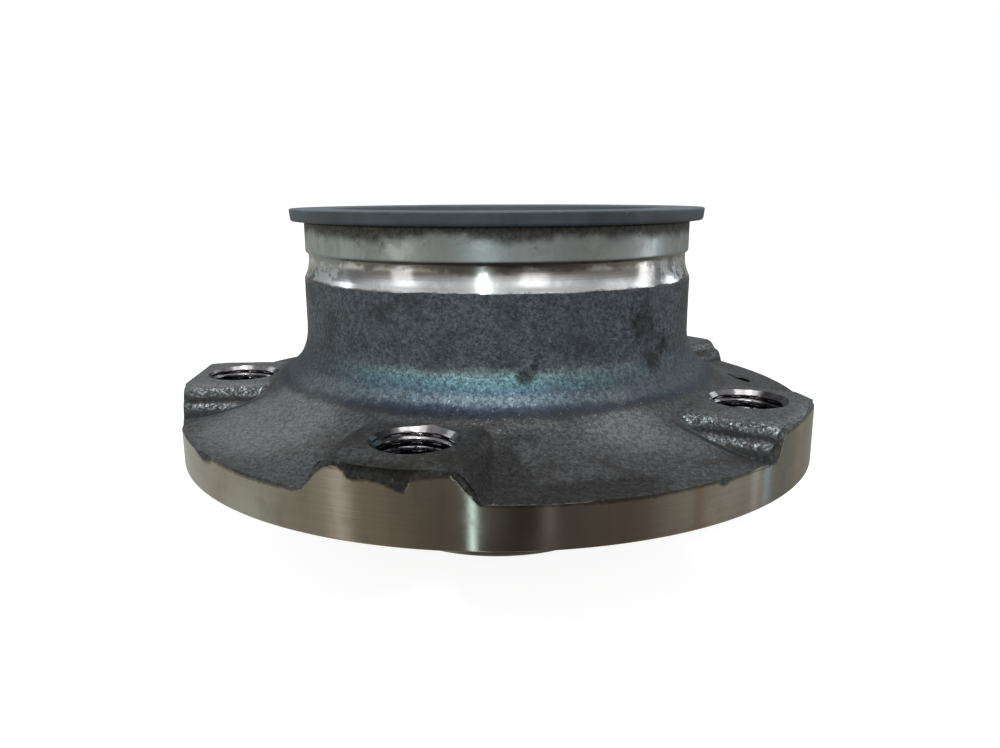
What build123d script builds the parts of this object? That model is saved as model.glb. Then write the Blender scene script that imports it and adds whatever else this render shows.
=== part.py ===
from build123d import *
import math
import os

# Wheel hub bearing with a rotating, flanged outer ring, for a non-driven axle.
# Millimetres.  Z is the axis of rotation and points inboard (towards the stub
# axle); z = 0 is the machined face that the brake disc and wheel are bolted to.

# ---- driving dimensions --------------------------------------------------
# wheel flange
FLANGE_R = 67.0            # turned rim
FLANGE_EDGE_CHAMFER = 1.5  # at the wheel face
BOLT_COUNT = 5
BOLT_PCD = 112.0
BOLT_PHASE = -103.77       # degrees, first bolt hole
THREAD_MINOR_R = 6.19      # M14 x 1.5, tapped right through
THREAD_MOUTH_R = 7.45      # countersunk mouth
BOSS_TOP_Z = 14.3
BOSS_HALF_WIDTH = 12.7     # at the foot
BOSS_TOP_HALF_WIDTH = 11.9
SHORT_BOSS = 4             # this boss ends short of the turned rim
SHORT_BOSS_R = 66.6
SCREW_R = 2.5              # M6 brake-disc retaining screw, tapped
SCREW_MOUTH_R = 3.2
SCREW_PCD = 112.0
SCREW_ANGLE = 4.23         # midway between two bolt holes

# pilots that centre the disc and the wheel
DISC_PILOT_R = 32.5
DISC_PILOT_END_Z = -6.5
WHEEL_PILOT_R = 28.5
PILOT_TIP_Z = -18.8
CAP_BORE_R = 26.2          # dust-cap seat, in the pilot's mouth
CAP_BORE_END_Z = -8.0
SEAL_OUT_BORE_R = 25.2     # outboard seal seat, behind it

# outer ring body
BODY_R = 41.15
BODY_TOP_R = 41.12
GROOVE_R = 40.13
SEAT_R = 40.74
END_FACE_Z = 47.26
INNER_SHOULDER_R = 28.0    # land between the two raceways
SEAL_BORE_R = 33.4
CARRIER_BORE_R = 34.8
CARRIER_BORE_Z = 44.4

# balls and raceways
BALL_R = 11.906 / 2
BALL_COUNT = 12            # in each row
PITCH_R = 26.5
CONTACT_DEG = 38.0
GROOVE_ARC_R = 6.19        # 52 % of the ball diameter
RUN_GAP = 0.03             # ball to raceway
MID_Z = 20.7
ROW_OFFSET = 12.5

# inner rings
BORE_R = 16.0
RING_END_IN_Z = 48.2
RING_END_OUT_Z = -6.8
RING_OPEN_R = 21.4         # open side of the raceway
RING_SHOULDER_R = 24.4
OUT_LAND_R = 21.0          # outboard seal land
CLIP_SEAT_R = 20.3
CLIP_HOOK_R = 19.5

# encoder
ENC_R = 43.64
ENC_BOTTOM_R = 43.25
ENC_IN_R = 34.9
ENC_TOP_Z = 49.72
CARRIER_T = 0.8

os.makedirs("parts", exist_ok=True)


def pt(r, z):
    return Vector(r, 0, z)


def turned(*items):
    """Revolve a closed profile given as points and arcs.

    A tuple of two numbers is the next corner (r, z); a tuple ("arc", mid, end)
    is a three-point arc from the last corner; ("spline", [points], t0, t1) is a
    smooth curve through the points.
    """
    edges = []
    start = pt(*items[0])
    here = start
    for it in items[1:]:
        if it[0] == "arc":
            end = pt(*it[2])
            edges.append(ThreePointArc(here, pt(*it[1]), end))
        elif it[0] == "spline":
            pts = [here] + [pt(*q) for q in it[1]]
            end = pts[-1]
            edges.append(Spline(*pts, tangents=[pt(*it[2]), pt(*it[3])]))
        else:
            end = pt(*it)
            if (end - here).length < 1e-7:
                continue
            edges.append(Line(here, end))
        here = end
    if (here - start).length > 1e-7:
        edges.append(Line(here, start))
    face = Face(Wire(edges))
    return Solid.revolve(face, 360, Axis.Z)


def groove_outer(sign):
    """Raceway arc in the outer ring.  sign +1 inboard row, -1 outboard row."""
    a = math.radians(CONTACT_DEG)
    cz = MID_Z + sign * ROW_OFFSET
    d = GROOVE_ARC_R - (BALL_R + RUN_GAP)
    ur, uz = math.cos(a), -sign * math.sin(a)   # towards the outer contact
    gr, gz = PITCH_R - d * ur, cz - d * uz
    # shoulder side, towards the middle
    dz = math.sqrt(GROOVE_ARC_R ** 2 - (INNER_SHOULDER_R - gr) ** 2)
    shoulder = (INNER_SHOULDER_R, gz - sign * dz)
    mid = (gr + GROOVE_ARC_R, gz)
    # open side, away from the middle
    ang = math.radians(46)
    opened = (gr + GROOVE_ARC_R * math.cos(ang), gz + sign * GROOVE_ARC_R * math.sin(ang))
    return shoulder, mid, opened


def groove_inner(sign):
    """Raceway arc in an inner ring: open-side end, bottom, shoulder end."""
    a = math.radians(CONTACT_DEG)
    cz = MID_Z + sign * ROW_OFFSET
    d = GROOVE_ARC_R - (BALL_R + RUN_GAP)
    ur, uz = math.cos(a), -sign * math.sin(a)
    gr, gz = PITCH_R + d * ur, cz + d * uz
    dz = math.sqrt(GROOVE_ARC_R ** 2 - (gr - RING_OPEN_R) ** 2)
    opened = (RING_OPEN_R, gz - sign * dz)
    mid = (gr - GROOVE_ARC_R, gz)
    dz = math.sqrt(GROOVE_ARC_R ** 2 - (gr - RING_SHOULDER_R) ** 2)
    shoulder = (RING_SHOULDER_R, gz + sign * dz)
    return opened, mid, shoulder


# ---- flanged outer ring ----------------------------------------------------
o_sh, o_mid, o_op = groove_outer(-1)
i_sh, i_mid, i_op = groove_outer(+1)

FLANGE_TOP = [(45.9, 16.3), (50.0, 13.4), (54.0, 11.45), (58.0, 10.0), (62.0, 8.9), (67.0, 8.05)]

hub = turned(
    (CAP_BORE_R, PILOT_TIP_Z + 0.8),
    (CAP_BORE_R + 0.5, PILOT_TIP_Z),
    (WHEEL_PILOT_R - 1.2, PILOT_TIP_Z),
    (WHEEL_PILOT_R, PILOT_TIP_Z + 1.2),
    (WHEEL_PILOT_R, DISC_PILOT_END_Z - 0.5),
    (WHEEL_PILOT_R + 0.5, DISC_PILOT_END_Z),
    (DISC_PILOT_R - 1.0, DISC_PILOT_END_Z),
    (DISC_PILOT_R, DISC_PILOT_END_Z + 1.0),
    (DISC_PILOT_R, 0.0),
    # corner relief and shallow clearance ring in the wheel face
    (DISC_PILOT_R, 0.6),
    (DISC_PILOT_R + 6.5, 0.6),
    (DISC_PILOT_R + 7.1, 0.0),
    (FLANGE_R + 4.0, 0.0),
    (FLANGE_R + 4.0, FLANGE_TOP[-1][1]),
    FLANGE_TOP[-1],
    ("spline", [FLANGE_TOP[4], FLANGE_TOP[3], FLANGE_TOP[2], FLANGE_TOP[1], FLANGE_TOP[0],
                (42.5, 19.7), (BODY_R, 24.0)], (-1, 0.12), (0, 1)),
    (BODY_TOP_R, 35.75),
    (40.68, 36.75),
    (40.36, 37.8),
    (GROOVE_R, 39.1),
    (GROOVE_R, 40.35),
    (SEAT_R, 41.1),
    (SEAT_R, END_FACE_Z - 0.4),
    (SEAT_R - 0.4, END_FACE_Z),
    (CARRIER_BORE_R + 0.3, END_FACE_Z),
    (CARRIER_BORE_R, END_FACE_Z - 0.3),
    (CARRIER_BORE_R, CARRIER_BORE_Z),
    (SEAL_BORE_R + 0.4, CARRIER_BORE_Z),
    (SEAL_BORE_R, CARRIER_BORE_Z - 0.4),
    (SEAL_BORE_R, 39.9),
    (i_op[0], 38.6),
    i_op,
    ("arc", i_mid, i_sh),
    (INNER_SHOULDER_R, o_sh[1]),
    ("arc", o_mid, o_op),
    (o_op[0], 3.2),
    (28.8, 0.8),
    (SEAL_OUT_BORE_R, 0.8),
    (SEAL_OUT_BORE_R, CAP_BORE_END_Z + 0.5),
    (SEAL_OUT_BORE_R + 0.5, CAP_BORE_END_Z),
    (CAP_BORE_R, CAP_BORE_END_Z),
)

bolt_angles = [BOLT_PHASE + 72.0 * k for k in range(BOLT_COUNT)]


def boss(k):
    """Raised pad round a bolt hole, drafted on its sides, trimmed to the rim."""
    r_in, r_out = 43.0, 70.0
    bottom = Plane.XY.offset(5.0) * Pos((r_in + r_out) / 2, 0) * Rectangle(r_out - r_in, 2 * BOSS_HALF_WIDTH + 0.6)
    top = Plane.XY.offset(BOSS_TOP_Z) * Pos((r_in + r_out) / 2, 0) * Rectangle(r_out - r_in, 2 * BOSS_TOP_HALF_WIDTH)
    pad = loft([bottom, top])
    long_top = [e for e in pad.edges().filter_by(GeomType.LINE)
                if abs(e.center().Z - BOSS_TOP_Z) < 1e-6 and abs(abs(e.center().Y) - BOSS_TOP_HALF_WIDTH) < 1e-6]
    pad = fillet(long_top, 1.8)
    if k == SHORT_BOSS:
        rim = Cylinder(SHORT_BOSS_R, 40)
        pad = pad & rim
        arcs = [e for e in pad.edges() if e.geom_type == GeomType.CIRCLE
                and abs(e.center().Z - BOSS_TOP_Z) < 0.01 and e.length > 10]
        try:
            pad = fillet(arcs, 1.5)
        except Exception:
            pass
    return Rot(0, 0, bolt_angles[k]) * pad


core = Cylinder(36.0, 60)      # the bosses never reach inside the ring wall
for k in range(BOLT_COUNT):
    hub = hub + (boss(k) - core)

# turn the rim: the forged flange and bosses are cut to one outside diameter
turning = turned(
    (20.0, -30.0),
    (FLANGE_R - FLANGE_EDGE_CHAMFER - 1.0, -30.0),
    (FLANGE_R - FLANGE_EDGE_CHAMFER - 1.0, -1.0),
    (FLANGE_R, FLANGE_EDGE_CHAMFER),
    (FLANGE_R, 60.0),
    (20.0, 60.0),
)
hub = hub & turning

for ang in bolt_angles:
    a = math.radians(ang)
    x, y = BOLT_PCD / 2 * math.cos(a), BOLT_PCD / 2 * math.sin(a)
    hub = hub - Pos(x, y, 8) * Cylinder(THREAD_MINOR_R, 30)
    c = THREAD_MOUTH_R - THREAD_MINOR_R
    hub = hub - Pos(x, y, BOSS_TOP_Z - c / 2 + 0.01) * Cone(THREAD_MINOR_R, THREAD_MOUTH_R, c)

a = math.radians(SCREW_ANGLE)
sx, sy = SCREW_PCD / 2 * math.cos(a), SCREW_PCD / 2 * math.sin(a)
hub = hub - Pos(sx, sy, 8) * Cylinder(SCREW_R, 30)
c = SCREW_MOUTH_R - SCREW_R
hub = hub - Pos(sx, sy, c / 2 - 0.01) * Cone(SCREW_MOUTH_R, SCREW_R, c)

# ---- encoder: stamped carrier pressed in the ring's end, magnetised ring on it
carrier = turned(
    (CARRIER_BORE_R, CARRIER_BORE_Z + 0.2),
    (CARRIER_BORE_R, END_FACE_Z - 0.3),
    (CARRIER_BORE_R + 0.3, END_FACE_Z),
    (42.9, END_FACE_Z),
    (42.9, END_FACE_Z + CARRIER_T),
    (CARRIER_BORE_R - 0.3, END_FACE_Z + CARRIER_T),
    (CARRIER_BORE_R - CARRIER_T, END_FACE_Z + CARRIER_T - 0.5),
    (CARRIER_BORE_R - CARRIER_T, CARRIER_BORE_Z + 0.2),
)
encoder = turned(
    (ENC_IN_R, END_FACE_Z + CARRIER_T),
    (42.9, END_FACE_Z + CARRIER_T),
    (42.9, END_FACE_Z),
    (ENC_BOTTOM_R - 0.1, END_FACE_Z),
    ("arc", (ENC_BOTTOM_R + 0.12, END_FACE_Z + 0.13), (ENC_BOTTOM_R + 0.22, END_FACE_Z + 0.4)),
    (ENC_R, ENC_TOP_Z - 0.25),
    (ENC_R - 0.25, ENC_TOP_Z),
    (ENC_IN_R + 0.3, ENC_TOP_Z),
    (ENC_IN_R, ENC_TOP_Z - 0.3),
)

# ---- inner rings ----------------------------------------------------------
g_op, g_mid, g_sh = groove_inner(+1)
ring_in = turned(
    (BORE_R, MID_Z),
    (CLIP_SEAT_R, MID_Z),
    (CLIP_SEAT_R, MID_Z + 2.3),
    (CLIP_HOOK_R, MID_Z + 2.3),
    (CLIP_HOOK_R, MID_Z + 3.3),
    (RING_OPEN_R - 0.3, MID_Z + 3.3),
    (RING_OPEN_R, MID_Z + 3.6),
    g_op,
    ("arc", g_mid, g_sh),
    (RING_SHOULDER_R, RING_END_IN_Z - 0.8),
    (RING_SHOULDER_R - 0.8, RING_END_IN_Z),
    (BORE_R + 1.4, RING_END_IN_Z),
    (BORE_R, RING_END_IN_Z - 1.4),
)
h_op, h_mid, h_sh = groove_inner(-1)
ring_out = turned(
    (BORE_R, MID_Z),
    (CLIP_SEAT_R, MID_Z),
    (CLIP_SEAT_R, MID_Z - 2.3),
    (CLIP_HOOK_R, MID_Z - 2.3),
    (CLIP_HOOK_R, MID_Z - 3.3),
    (RING_OPEN_R - 0.3, MID_Z - 3.3),
    (RING_OPEN_R, MID_Z - 3.6),
    h_op,
    ("arc", h_mid, h_sh),
    (RING_SHOULDER_R, 1.2),
    (OUT_LAND_R, 0.2),
    (OUT_LAND_R, RING_END_OUT_Z + 0.6),
    (OUT_LAND_R - 0.6, RING_END_OUT_Z),
    (BORE_R + 1.4, RING_END_OUT_Z),
    (BORE_R, RING_END_OUT_Z + 1.4),
)
# spring-steel clip that holds the two inner rings together until they are
# clamped on the axle: a thin sleeve with a hooked lip at each end
clip = turned(
    (CLIP_SEAT_R + 0.02, MID_Z - 2.32),
    (CLIP_SEAT_R + 0.02, MID_Z + 2.32),
    (CLIP_HOOK_R + 0.05, MID_Z + 2.32),
    (CLIP_HOOK_R + 0.05, MID_Z + 3.1),
    (CLIP_SEAT_R + 0.5, MID_Z + 3.1),
    (CLIP_SEAT_R + 0.75, MID_Z + 2.8),
    (CLIP_SEAT_R + 0.75, MID_Z - 2.8),
    (CLIP_SEAT_R + 0.5, MID_Z - 3.1),
    (CLIP_HOOK_R + 0.05, MID_Z - 3.1),
    (CLIP_HOOK_R + 0.05, MID_Z - 2.32),
)

# ---- cages: moulded crowns, backs towards the middle, open to the ends ------
CAGE_IN_R, CAGE_OUT_R = 22.4, 25.6
POCKET_R = BALL_R + 0.13


def cage(sign, phase):
    cz = MID_Z + sign * ROW_OFFSET
    z_tip, z_back = cz + sign * 3.4, cz - sign * 7.0
    body = turned(
        (CAGE_IN_R, min(z_tip, z_back)), (CAGE_OUT_R, min(z_tip, z_back)),
        (CAGE_OUT_R, max(z_tip, z_back)), (CAGE_IN_R, max(z_tip, z_back)))
    for i in range(BALL_COUNT):
        t = math.radians(phase + 360.0 * i / BALL_COUNT)
        body = body - Pos(PITCH_R * math.cos(t), PITCH_R * math.sin(t), cz) * Sphere(POCKET_R)
    return body


PHASE = {+1: 0.0, -1: 15.0}
cage_in = cage(+1, PHASE[+1])
cage_out = cage(-1, PHASE[-1])

# ---- inboard cassette seal --------------------------------------------------
seal_in_case = turned(
    (SEAL_BORE_R, 41.1), (SEAL_BORE_R, 43.9), (SEAL_BORE_R - 0.3, 44.2), (SEAL_BORE_R - 0.75, 44.2),
    (SEAL_BORE_R - 0.75, 41.55), (28.3, 41.55), (28.3, 40.8), (SEAL_BORE_R - 0.3, 40.8))
slinger = turned(
    (RING_SHOULDER_R, 41.6), (RING_SHOULDER_R, 43.8), (RING_SHOULDER_R + 0.4, 44.2), (32.2, 44.2),
    (32.2, 43.5), (RING_SHOULDER_R + 0.7, 43.5), (RING_SHOULDER_R + 0.7, 41.6))
seal_in_lips = turned(
    (28.3, 40.8), (28.3, 41.55), (32.4, 41.55), (32.4, 41.95), (30.6, 42.1), (31.5, 43.45),
    (31.15, 43.45), (29.9, 42.1), (28.5, 42.1), (29.3, 43.45), (28.95, 43.45), (27.8, 42.2),
    (25.9, 42.75), (25.15, 43.1), (25.15, 42.7), (27.0, 41.6), (25.15, 40.4), (25.3, 40.15), (27.4, 40.8))

# ---- outboard seal ----------------------------------------------------------
seal_out_case = turned(
    (SEAL_OUT_BORE_R, -4.6), (SEAL_OUT_BORE_R, 0.1), (SEAL_OUT_BORE_R - 0.7, 0.1), (SEAL_OUT_BORE_R - 0.7, -4.2),
    (23.3, -4.2), (23.3, -4.9), (SEAL_OUT_BORE_R - 0.3, -4.9))
seal_out_lip = turned(
    (23.3, -4.9), (23.3, -4.2), (24.3, -4.2), (24.3, -3.8), (22.9, -3.8), (22.4, -2.6), (21.08, -1.5),
    (21.08, -1.9), (21.9, -3.2), (22.1, -4.2), (21.08, -5.3), (21.08, -5.7), (22.5, -5.3), (24.7, -5.3),
    (24.9, -4.9))

parts = {
    "hub_flange": hub,
    "encoder_carrier": carrier,
    "encoder_ring": encoder,
    "inner_ring_inboard": ring_in,
    "inner_ring_outboard": ring_out,
    "inner_ring_clip": clip,
    "cage_inboard": cage_in,
    "cage_outboard": cage_out,
    "inboard_seal_case": seal_in_case,
    "inboard_seal_lips": seal_in_lips,
    "inboard_slinger": slinger,
    "outboard_seal_case": seal_out_case,
    "outboard_seal_lip": seal_out_lip,
}

for sign, side in ((+1, "inboard"), (-1, "outboard")):
    cz = MID_Z + sign * ROW_OFFSET
    for i in range(BALL_COUNT):
        t = math.radians(PHASE[sign] + 360.0 * i / BALL_COUNT)
        parts[f"ball_{side}_{i + 1:02d}"] = (
            Pos(PITCH_R * math.cos(t), PITCH_R * math.sin(t), cz) * Sphere(BALL_R))

for name, shape in parts.items():
    export_step(shape, f"parts/{name}.step")
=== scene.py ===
import math

import bpy
import numpy as np
from mathutils import Matrix, Vector

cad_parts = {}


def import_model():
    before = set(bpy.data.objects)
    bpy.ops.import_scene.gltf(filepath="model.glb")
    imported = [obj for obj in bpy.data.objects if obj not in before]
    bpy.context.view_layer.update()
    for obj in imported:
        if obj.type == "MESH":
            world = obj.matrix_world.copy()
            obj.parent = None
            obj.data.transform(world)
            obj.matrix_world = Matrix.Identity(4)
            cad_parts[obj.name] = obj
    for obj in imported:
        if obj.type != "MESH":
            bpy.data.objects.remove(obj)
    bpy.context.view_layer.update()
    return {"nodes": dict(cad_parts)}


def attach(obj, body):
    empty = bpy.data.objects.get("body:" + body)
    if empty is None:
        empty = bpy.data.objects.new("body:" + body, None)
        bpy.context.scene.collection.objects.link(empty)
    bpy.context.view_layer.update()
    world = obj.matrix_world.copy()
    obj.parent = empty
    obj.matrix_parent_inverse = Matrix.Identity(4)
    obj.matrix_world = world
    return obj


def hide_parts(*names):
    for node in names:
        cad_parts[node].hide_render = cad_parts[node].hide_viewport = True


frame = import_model()


MM = 0.001

# ---------------------------------------------------------------------------
# sizes, in millimetres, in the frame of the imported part
FLANGE_R = 67.0
BOLT_PHASE = -103.77
BOLT_R = 56.0
BOLTS = [BOLT_PHASE + 72.0 * k for k in range(5)]
BOSS_TOP = 14.3
MOUTH_R = 7.45
SCREW_DEG = 4.23
BODY_R = 41.15
PILOT_TIP = -18.8


# ---------------------------------------------------------------------------
# seeded noise
def lattice(seed):
    rng = np.random.RandomState(seed)
    perm = rng.permutation(256)
    grad = rng.normal(size=(256, 3))
    grad /= np.linalg.norm(grad, axis=1)[:, None]
    return np.concatenate([perm, perm, perm]), grad


def perlin(p, seed=0):
    perm, grad = lattice(seed)
    i = np.floor(p).astype(int)
    f = p - i
    u = f * f * f * (f * (f * 6 - 15) + 10)
    i &= 255
    out = 0.0
    for dx in (0, 1):
        for dy in (0, 1):
            for dz in (0, 1):
                h = perm[perm[perm[(i[:, 0] + dx) & 255] + ((i[:, 1] + dy) & 255)] + ((i[:, 2] + dz) & 255)]
                g = grad[h]
                d = np.stack([f[:, 0] - dx, f[:, 1] - dy, f[:, 2] - dz], 1)
                w = ((u[:, 0] if dx else 1 - u[:, 0]) * (u[:, 1] if dy else 1 - u[:, 1]) * (u[:, 2] if dz else 1 - u[:, 2]))
                out = out + w * (g * d).sum(1)
    return out


def fbm(p, scale, octaves=3, seed=0, gain=0.5):
    """p in mm, scale = size of the largest feature in mm."""
    out, amp = 0.0, 1.0
    for k in range(octaves):
        out = out + amp * perlin(p / scale * (2.03 ** k) + 17.3 * k, seed + k)
        amp *= gain
    return out


def smoothstep(a, b, x):
    t = np.clip((x - a) / (b - a), 0, 1)
    return t * t * (3 - 2 * t)


# ---------------------------------------------------------------------------
# mesh helpers
def ring_mesh(name, R, Z, theta, closed_profile=True):
    """A closed surface of revolution whose profile may change round the axis.
    R and Z are (rows, columns) in mm."""
    rows, cols = R.shape
    x = R * np.cos(theta)[None, :]
    y = R * np.sin(theta)[None, :]
    co = np.stack([x, y, Z], -1).reshape(-1, 3) * MM
    i = np.arange(rows)
    j = np.arange(cols)
    i2 = (i + 1) % rows
    if not closed_profile:
        i, i2 = i[:-1], i2[:-1]
    j2 = (j + 1) % cols
    a = (i[:, None] * cols + j[None, :])
    b = (i[:, None] * cols + j2[None, :])
    c = (i2[:, None] * cols + j2[None, :])
    d = (i2[:, None] * cols + j[None, :])
    quads = np.stack([a, b, c, d], -1).reshape(-1, 4)
    me = bpy.data.meshes.new(name)
    me.vertices.add(len(co))
    me.vertices.foreach_set("co", co.astype(np.float32).ravel())
    me.loops.add(quads.size)
    me.loops.foreach_set("vertex_index", quads.ravel().astype(np.int32))
    me.polygons.add(len(quads))
    me.polygons.foreach_set("loop_start", np.arange(0, quads.size, 4, dtype=np.int32))
    me.update(calc_edges=True)
    me.validate()
    return me


def obj(name, me):
    o = bpy.data.objects.new(name, me)
    bpy.context.scene.collection.objects.link(o)
    return o


def coords(me):
    co = np.zeros(len(me.vertices) * 3, np.float32)
    me.vertices.foreach_get("co", co)
    return co.reshape(-1, 3).astype(float)


def signed_volume(me):
    co = coords(me)
    vol = 0.0
    me.calc_loop_triangles()
    t = np.zeros(len(me.loop_triangles) * 3, np.int32)
    me.loop_triangles.foreach_get("vertices", t)
    t = t.reshape(-1, 3)
    a, b, c = co[t[:, 0]], co[t[:, 1]], co[t[:, 2]]
    return float((np.cross(a, b) * c).sum() / 6)


def outward(me):
    if signed_volume(me) < 0:
        me.flip_normals()
    return me


def float_attr(me, name, values):
    at = me.attributes.get(name) or me.attributes.new(name, "FLOAT", "POINT")
    at.data.foreach_set("value", np.asarray(values, np.float32))


def smooth(me, degrees=34):
    me.polygons.foreach_set("use_smooth", np.ones(len(me.polygons), bool))
    me.set_sharp_from_angle(angle=math.radians(degrees))


def polyline(pts, step):
    """Points along straight runs, no further apart than step."""
    out = [pts[0]]
    for a, b in zip(pts[:-1], pts[1:]):
        n = max(1, int(math.ceil(math.dist(a, b) / step)))
        for k in range(1, n + 1):
            out.append((a[0] + (b[0] - a[0]) * k / n, a[1] + (b[1] - a[1]) * k / n))
    return out


def soften(pts, r=0.12, n=3):
    """Breaks every corner of an open or closed list of (r, z) with a small arc."""
    out = []
    m = len(pts)
    for i in range(m):
        p0, p1, p2 = np.array(pts[i - 1]), np.array(pts[i]), np.array(pts[(i + 1) % m])
        a, b = p0 - p1, p2 - p1
        la, lb = np.linalg.norm(a), np.linalg.norm(b)
        if la < 1e-6 or lb < 1e-6:
            continue
        a, b = a / la, b / lb
        cosang = float(np.clip(a @ b, -1, 1))
        if cosang < -0.995:
            out.append(tuple(p1))
            continue
        q = min(r, la * 0.45, lb * 0.45)
        s, e = p1 + a * q, p1 + b * q
        for k in range(n + 1):
            t = k / n
            out.append(tuple((1 - t) ** 2 * s + 2 * t * (1 - t) * p1 + t * t * e))
    return out


# ---------------------------------------------------------------------------
# the forged and turned hub flange
BASE = [(67.0, 8.05), (64.5, 8.3), (62.0, 8.75), (60.0, 9.28), (58.0, 9.92), (56.0, 10.6), (54.0, 11.35), (52.0, 12.25),
        (50.0, 13.3), (48.6, 14.25), (47.2, 15.25), (46.2, 15.95), (45.3, 16.62), (44.5, 17.3), (43.7, 18.1), (42.95, 19.05),
        (42.35, 20.0), (41.9, 20.95), (41.55, 22.0), (41.32, 23.0), (41.2, 24.0), (41.15, 25.6), (41.15, 27.0)]

SIDE = [(0.0, 0.0), (10.2, 0.0), (11.0, -0.12), (11.7, -0.38), (12.3, -0.78), (12.8, -1.3), (13.15, -1.9), (13.4, -2.6), (13.6, -3.6),
        (13.9, -6.0), (14.6, -12.0), (40, -60)]
# the pad at the front runs out softly instead
SOFT_SIDE = [(0.0, 0.0), (10.2, 0.0), (11.2, -0.2), (12.1, -0.7), (13.0, -1.6), (13.9, -3.0), (14.9, -4.8), (16.2, -7.2), (18, -11), (40, -60)]
# height of the second, lower step at the foot of each pad
STEP = [(0.0, 10.95), (13.5, 10.95), (14.0, 10.88), (14.4, 10.65), (14.8, 10.2), (15.1, 9.6), (15.45, 8.7), (16.2, 6.0), (40, -60)]

# half-width correction of each boss on its low-angle and high-angle side
LOPSIDED = {0: (0.0, -1.7), 1: (1.9, -0.2), 2: (-1.3, 0.4), 3: (0.2, 0.0), 4: (0.9, -0.1)}
# how far the outer end of each pad rolls down to the turned rim, low side and high side
ROLL = {0: (1.55, 1.55), 1: (1.55, 0.35), 2: (0.15, 0.3), 3: (0.8, 0.9), 4: (0.0, 0.0)}


def pads(x, y):
    """Along-the-arm and across-the-arm position on the nearest pad, and which pad it is."""
    u = np.full(x.shape, -99.0)
    v = np.zeros(x.shape)
    near = np.zeros(x.shape, int)
    for k, deg in enumerate(BOLTS):
        a = math.radians(deg)
        uk = x * math.cos(a) + y * math.sin(a)
        vk = -x * math.sin(a) + y * math.cos(a)
        better = uk > u
        u = np.where(better, uk, u)
        v = np.where(better, vk, v)
        near = np.where(better, k, near)
    return u, v, near


# the groove under the seat and the flare below it: radius, height
FLARE = [(41.3, 35.2), (41.12, 35.75), (40.90, 36.25), (40.68, 36.75), (40.51, 37.25), (40.36, 37.8), (40.25, 38.35), (40.17, 38.85),
         (40.13, 39.35), (40.13, 40.35), (40.2, 40.62), (40.5, 40.9), (40.68, 41.02), (40.74, 41.12), (40.74, 41.4)]

# where the turned rim meets the forged skin: angle, height
EDGE = [(-180, 5.2), (-172, 5.6), (-165, 6.2), (-158, 7.6), (-154.1, 8.4), (-150, 8.9), (-147.4, 8.5), (-146.1, 8.9), (-144.6, 8.1),
        (-142, 7.3), (-140.6, 7.0), (-138.6, 7.3), (-137.2, 8.15), (-132.2, 7.9), (-127.4, 7.7), (-122.8, 7.75), (-118.5, 7.85),
        (-117.2, 8.6), (-115.9, 9.9), (-114.8, 11.3), (-113.7, 12.25), (-112.5, 12.6), (-111.2, 12.6), (-110.2, 12.3),
        (-109.9, 11.3), (-109.1, 11.05), (-107.2, 11.25), (-105.4, 11.1), (-103.8, 10.45), (-102.4, 9.75), (-101.9, 9.9),
        (-101.5, 11.1), (-101.1, 11.7), (-100.5, 11.9), (-98.5, 12.3), (-96.6, 12.6), (-96.0, 12.7), (-95.0, 11.8), (-94.3, 10.7),
        (-93.6, 9.8), (-93.0, 8.95), (-92.3, 8.35), (-89.8, 8.2), (-84, 8.15), (-77, 8.0), (-70.2, 7.85), (-64.1, 8.05),
        (-58.7, 8.1), (-57.6, 7.3), (-55.9, 7.85), (-51.3, 8.1), (-46.8, 7.9), (-44.6, 7.9), (-43.9, 9.0), (-43.2, 10.9),
        (-42.4, 12.3), (-38.3, 12.6), (-33.1, 12.75), (-29.2, 12.75), (-26.3, 12.4), (-21, 12.2), (-18.5, 10.2), (-17, 8.2),
        (-10, 8.0), (0, 7.9), (8, 8.1), (14, 7.6), (20, 8.0), (25, 8.2), (26.8, 8.5), (29, 11.5), (31, 12.5), (40, 12.6), (44, 11.4),
        (47, 12.3), (51, 12.2), (53, 9.4), (55, 8.0), (65, 7.9), (72, 7.2), (80, 8.0), (92, 8.1), (98, 8.2), (100, 10.4), (102, 12.3),
        (110, 12.6), (114, 11.6), (122, 12.4), (124, 10.0), (126, 8.1), (135, 7.9), (146, 8.1), (155, 7.7), (165, 6.6), (172, 5.6), (180, 5.2)]


def base_height(r):
    return np.interp(r, [b[0] for b in BASE][::-1], [b[1] for b in BASE][::-1])


def rim_lift(deg):
    """The forging is a little thicker on the far side of the flange."""
    return np.interp((np.asarray(deg) + 180) % 360 - 180, [-180, -150, -40, -8, 3, 15, 28, 60, 100, 150, 165, 180],
                     [0.6, 0, 0, 0.4, 0.7, 0.9, 1.1, 0.9, 1.0, 1.35, 1.2, 0.6])


def across(x, y):
    u, v, k = pads(x, y)
    lo = np.array([LOPSIDED[i][0] for i in range(5)])[k]
    hi = np.array([LOPSIDED[i][1] for i in range(5)])[k]
    return u, v, k, np.where(v < 0, -v - lo, v - hi)


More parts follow.
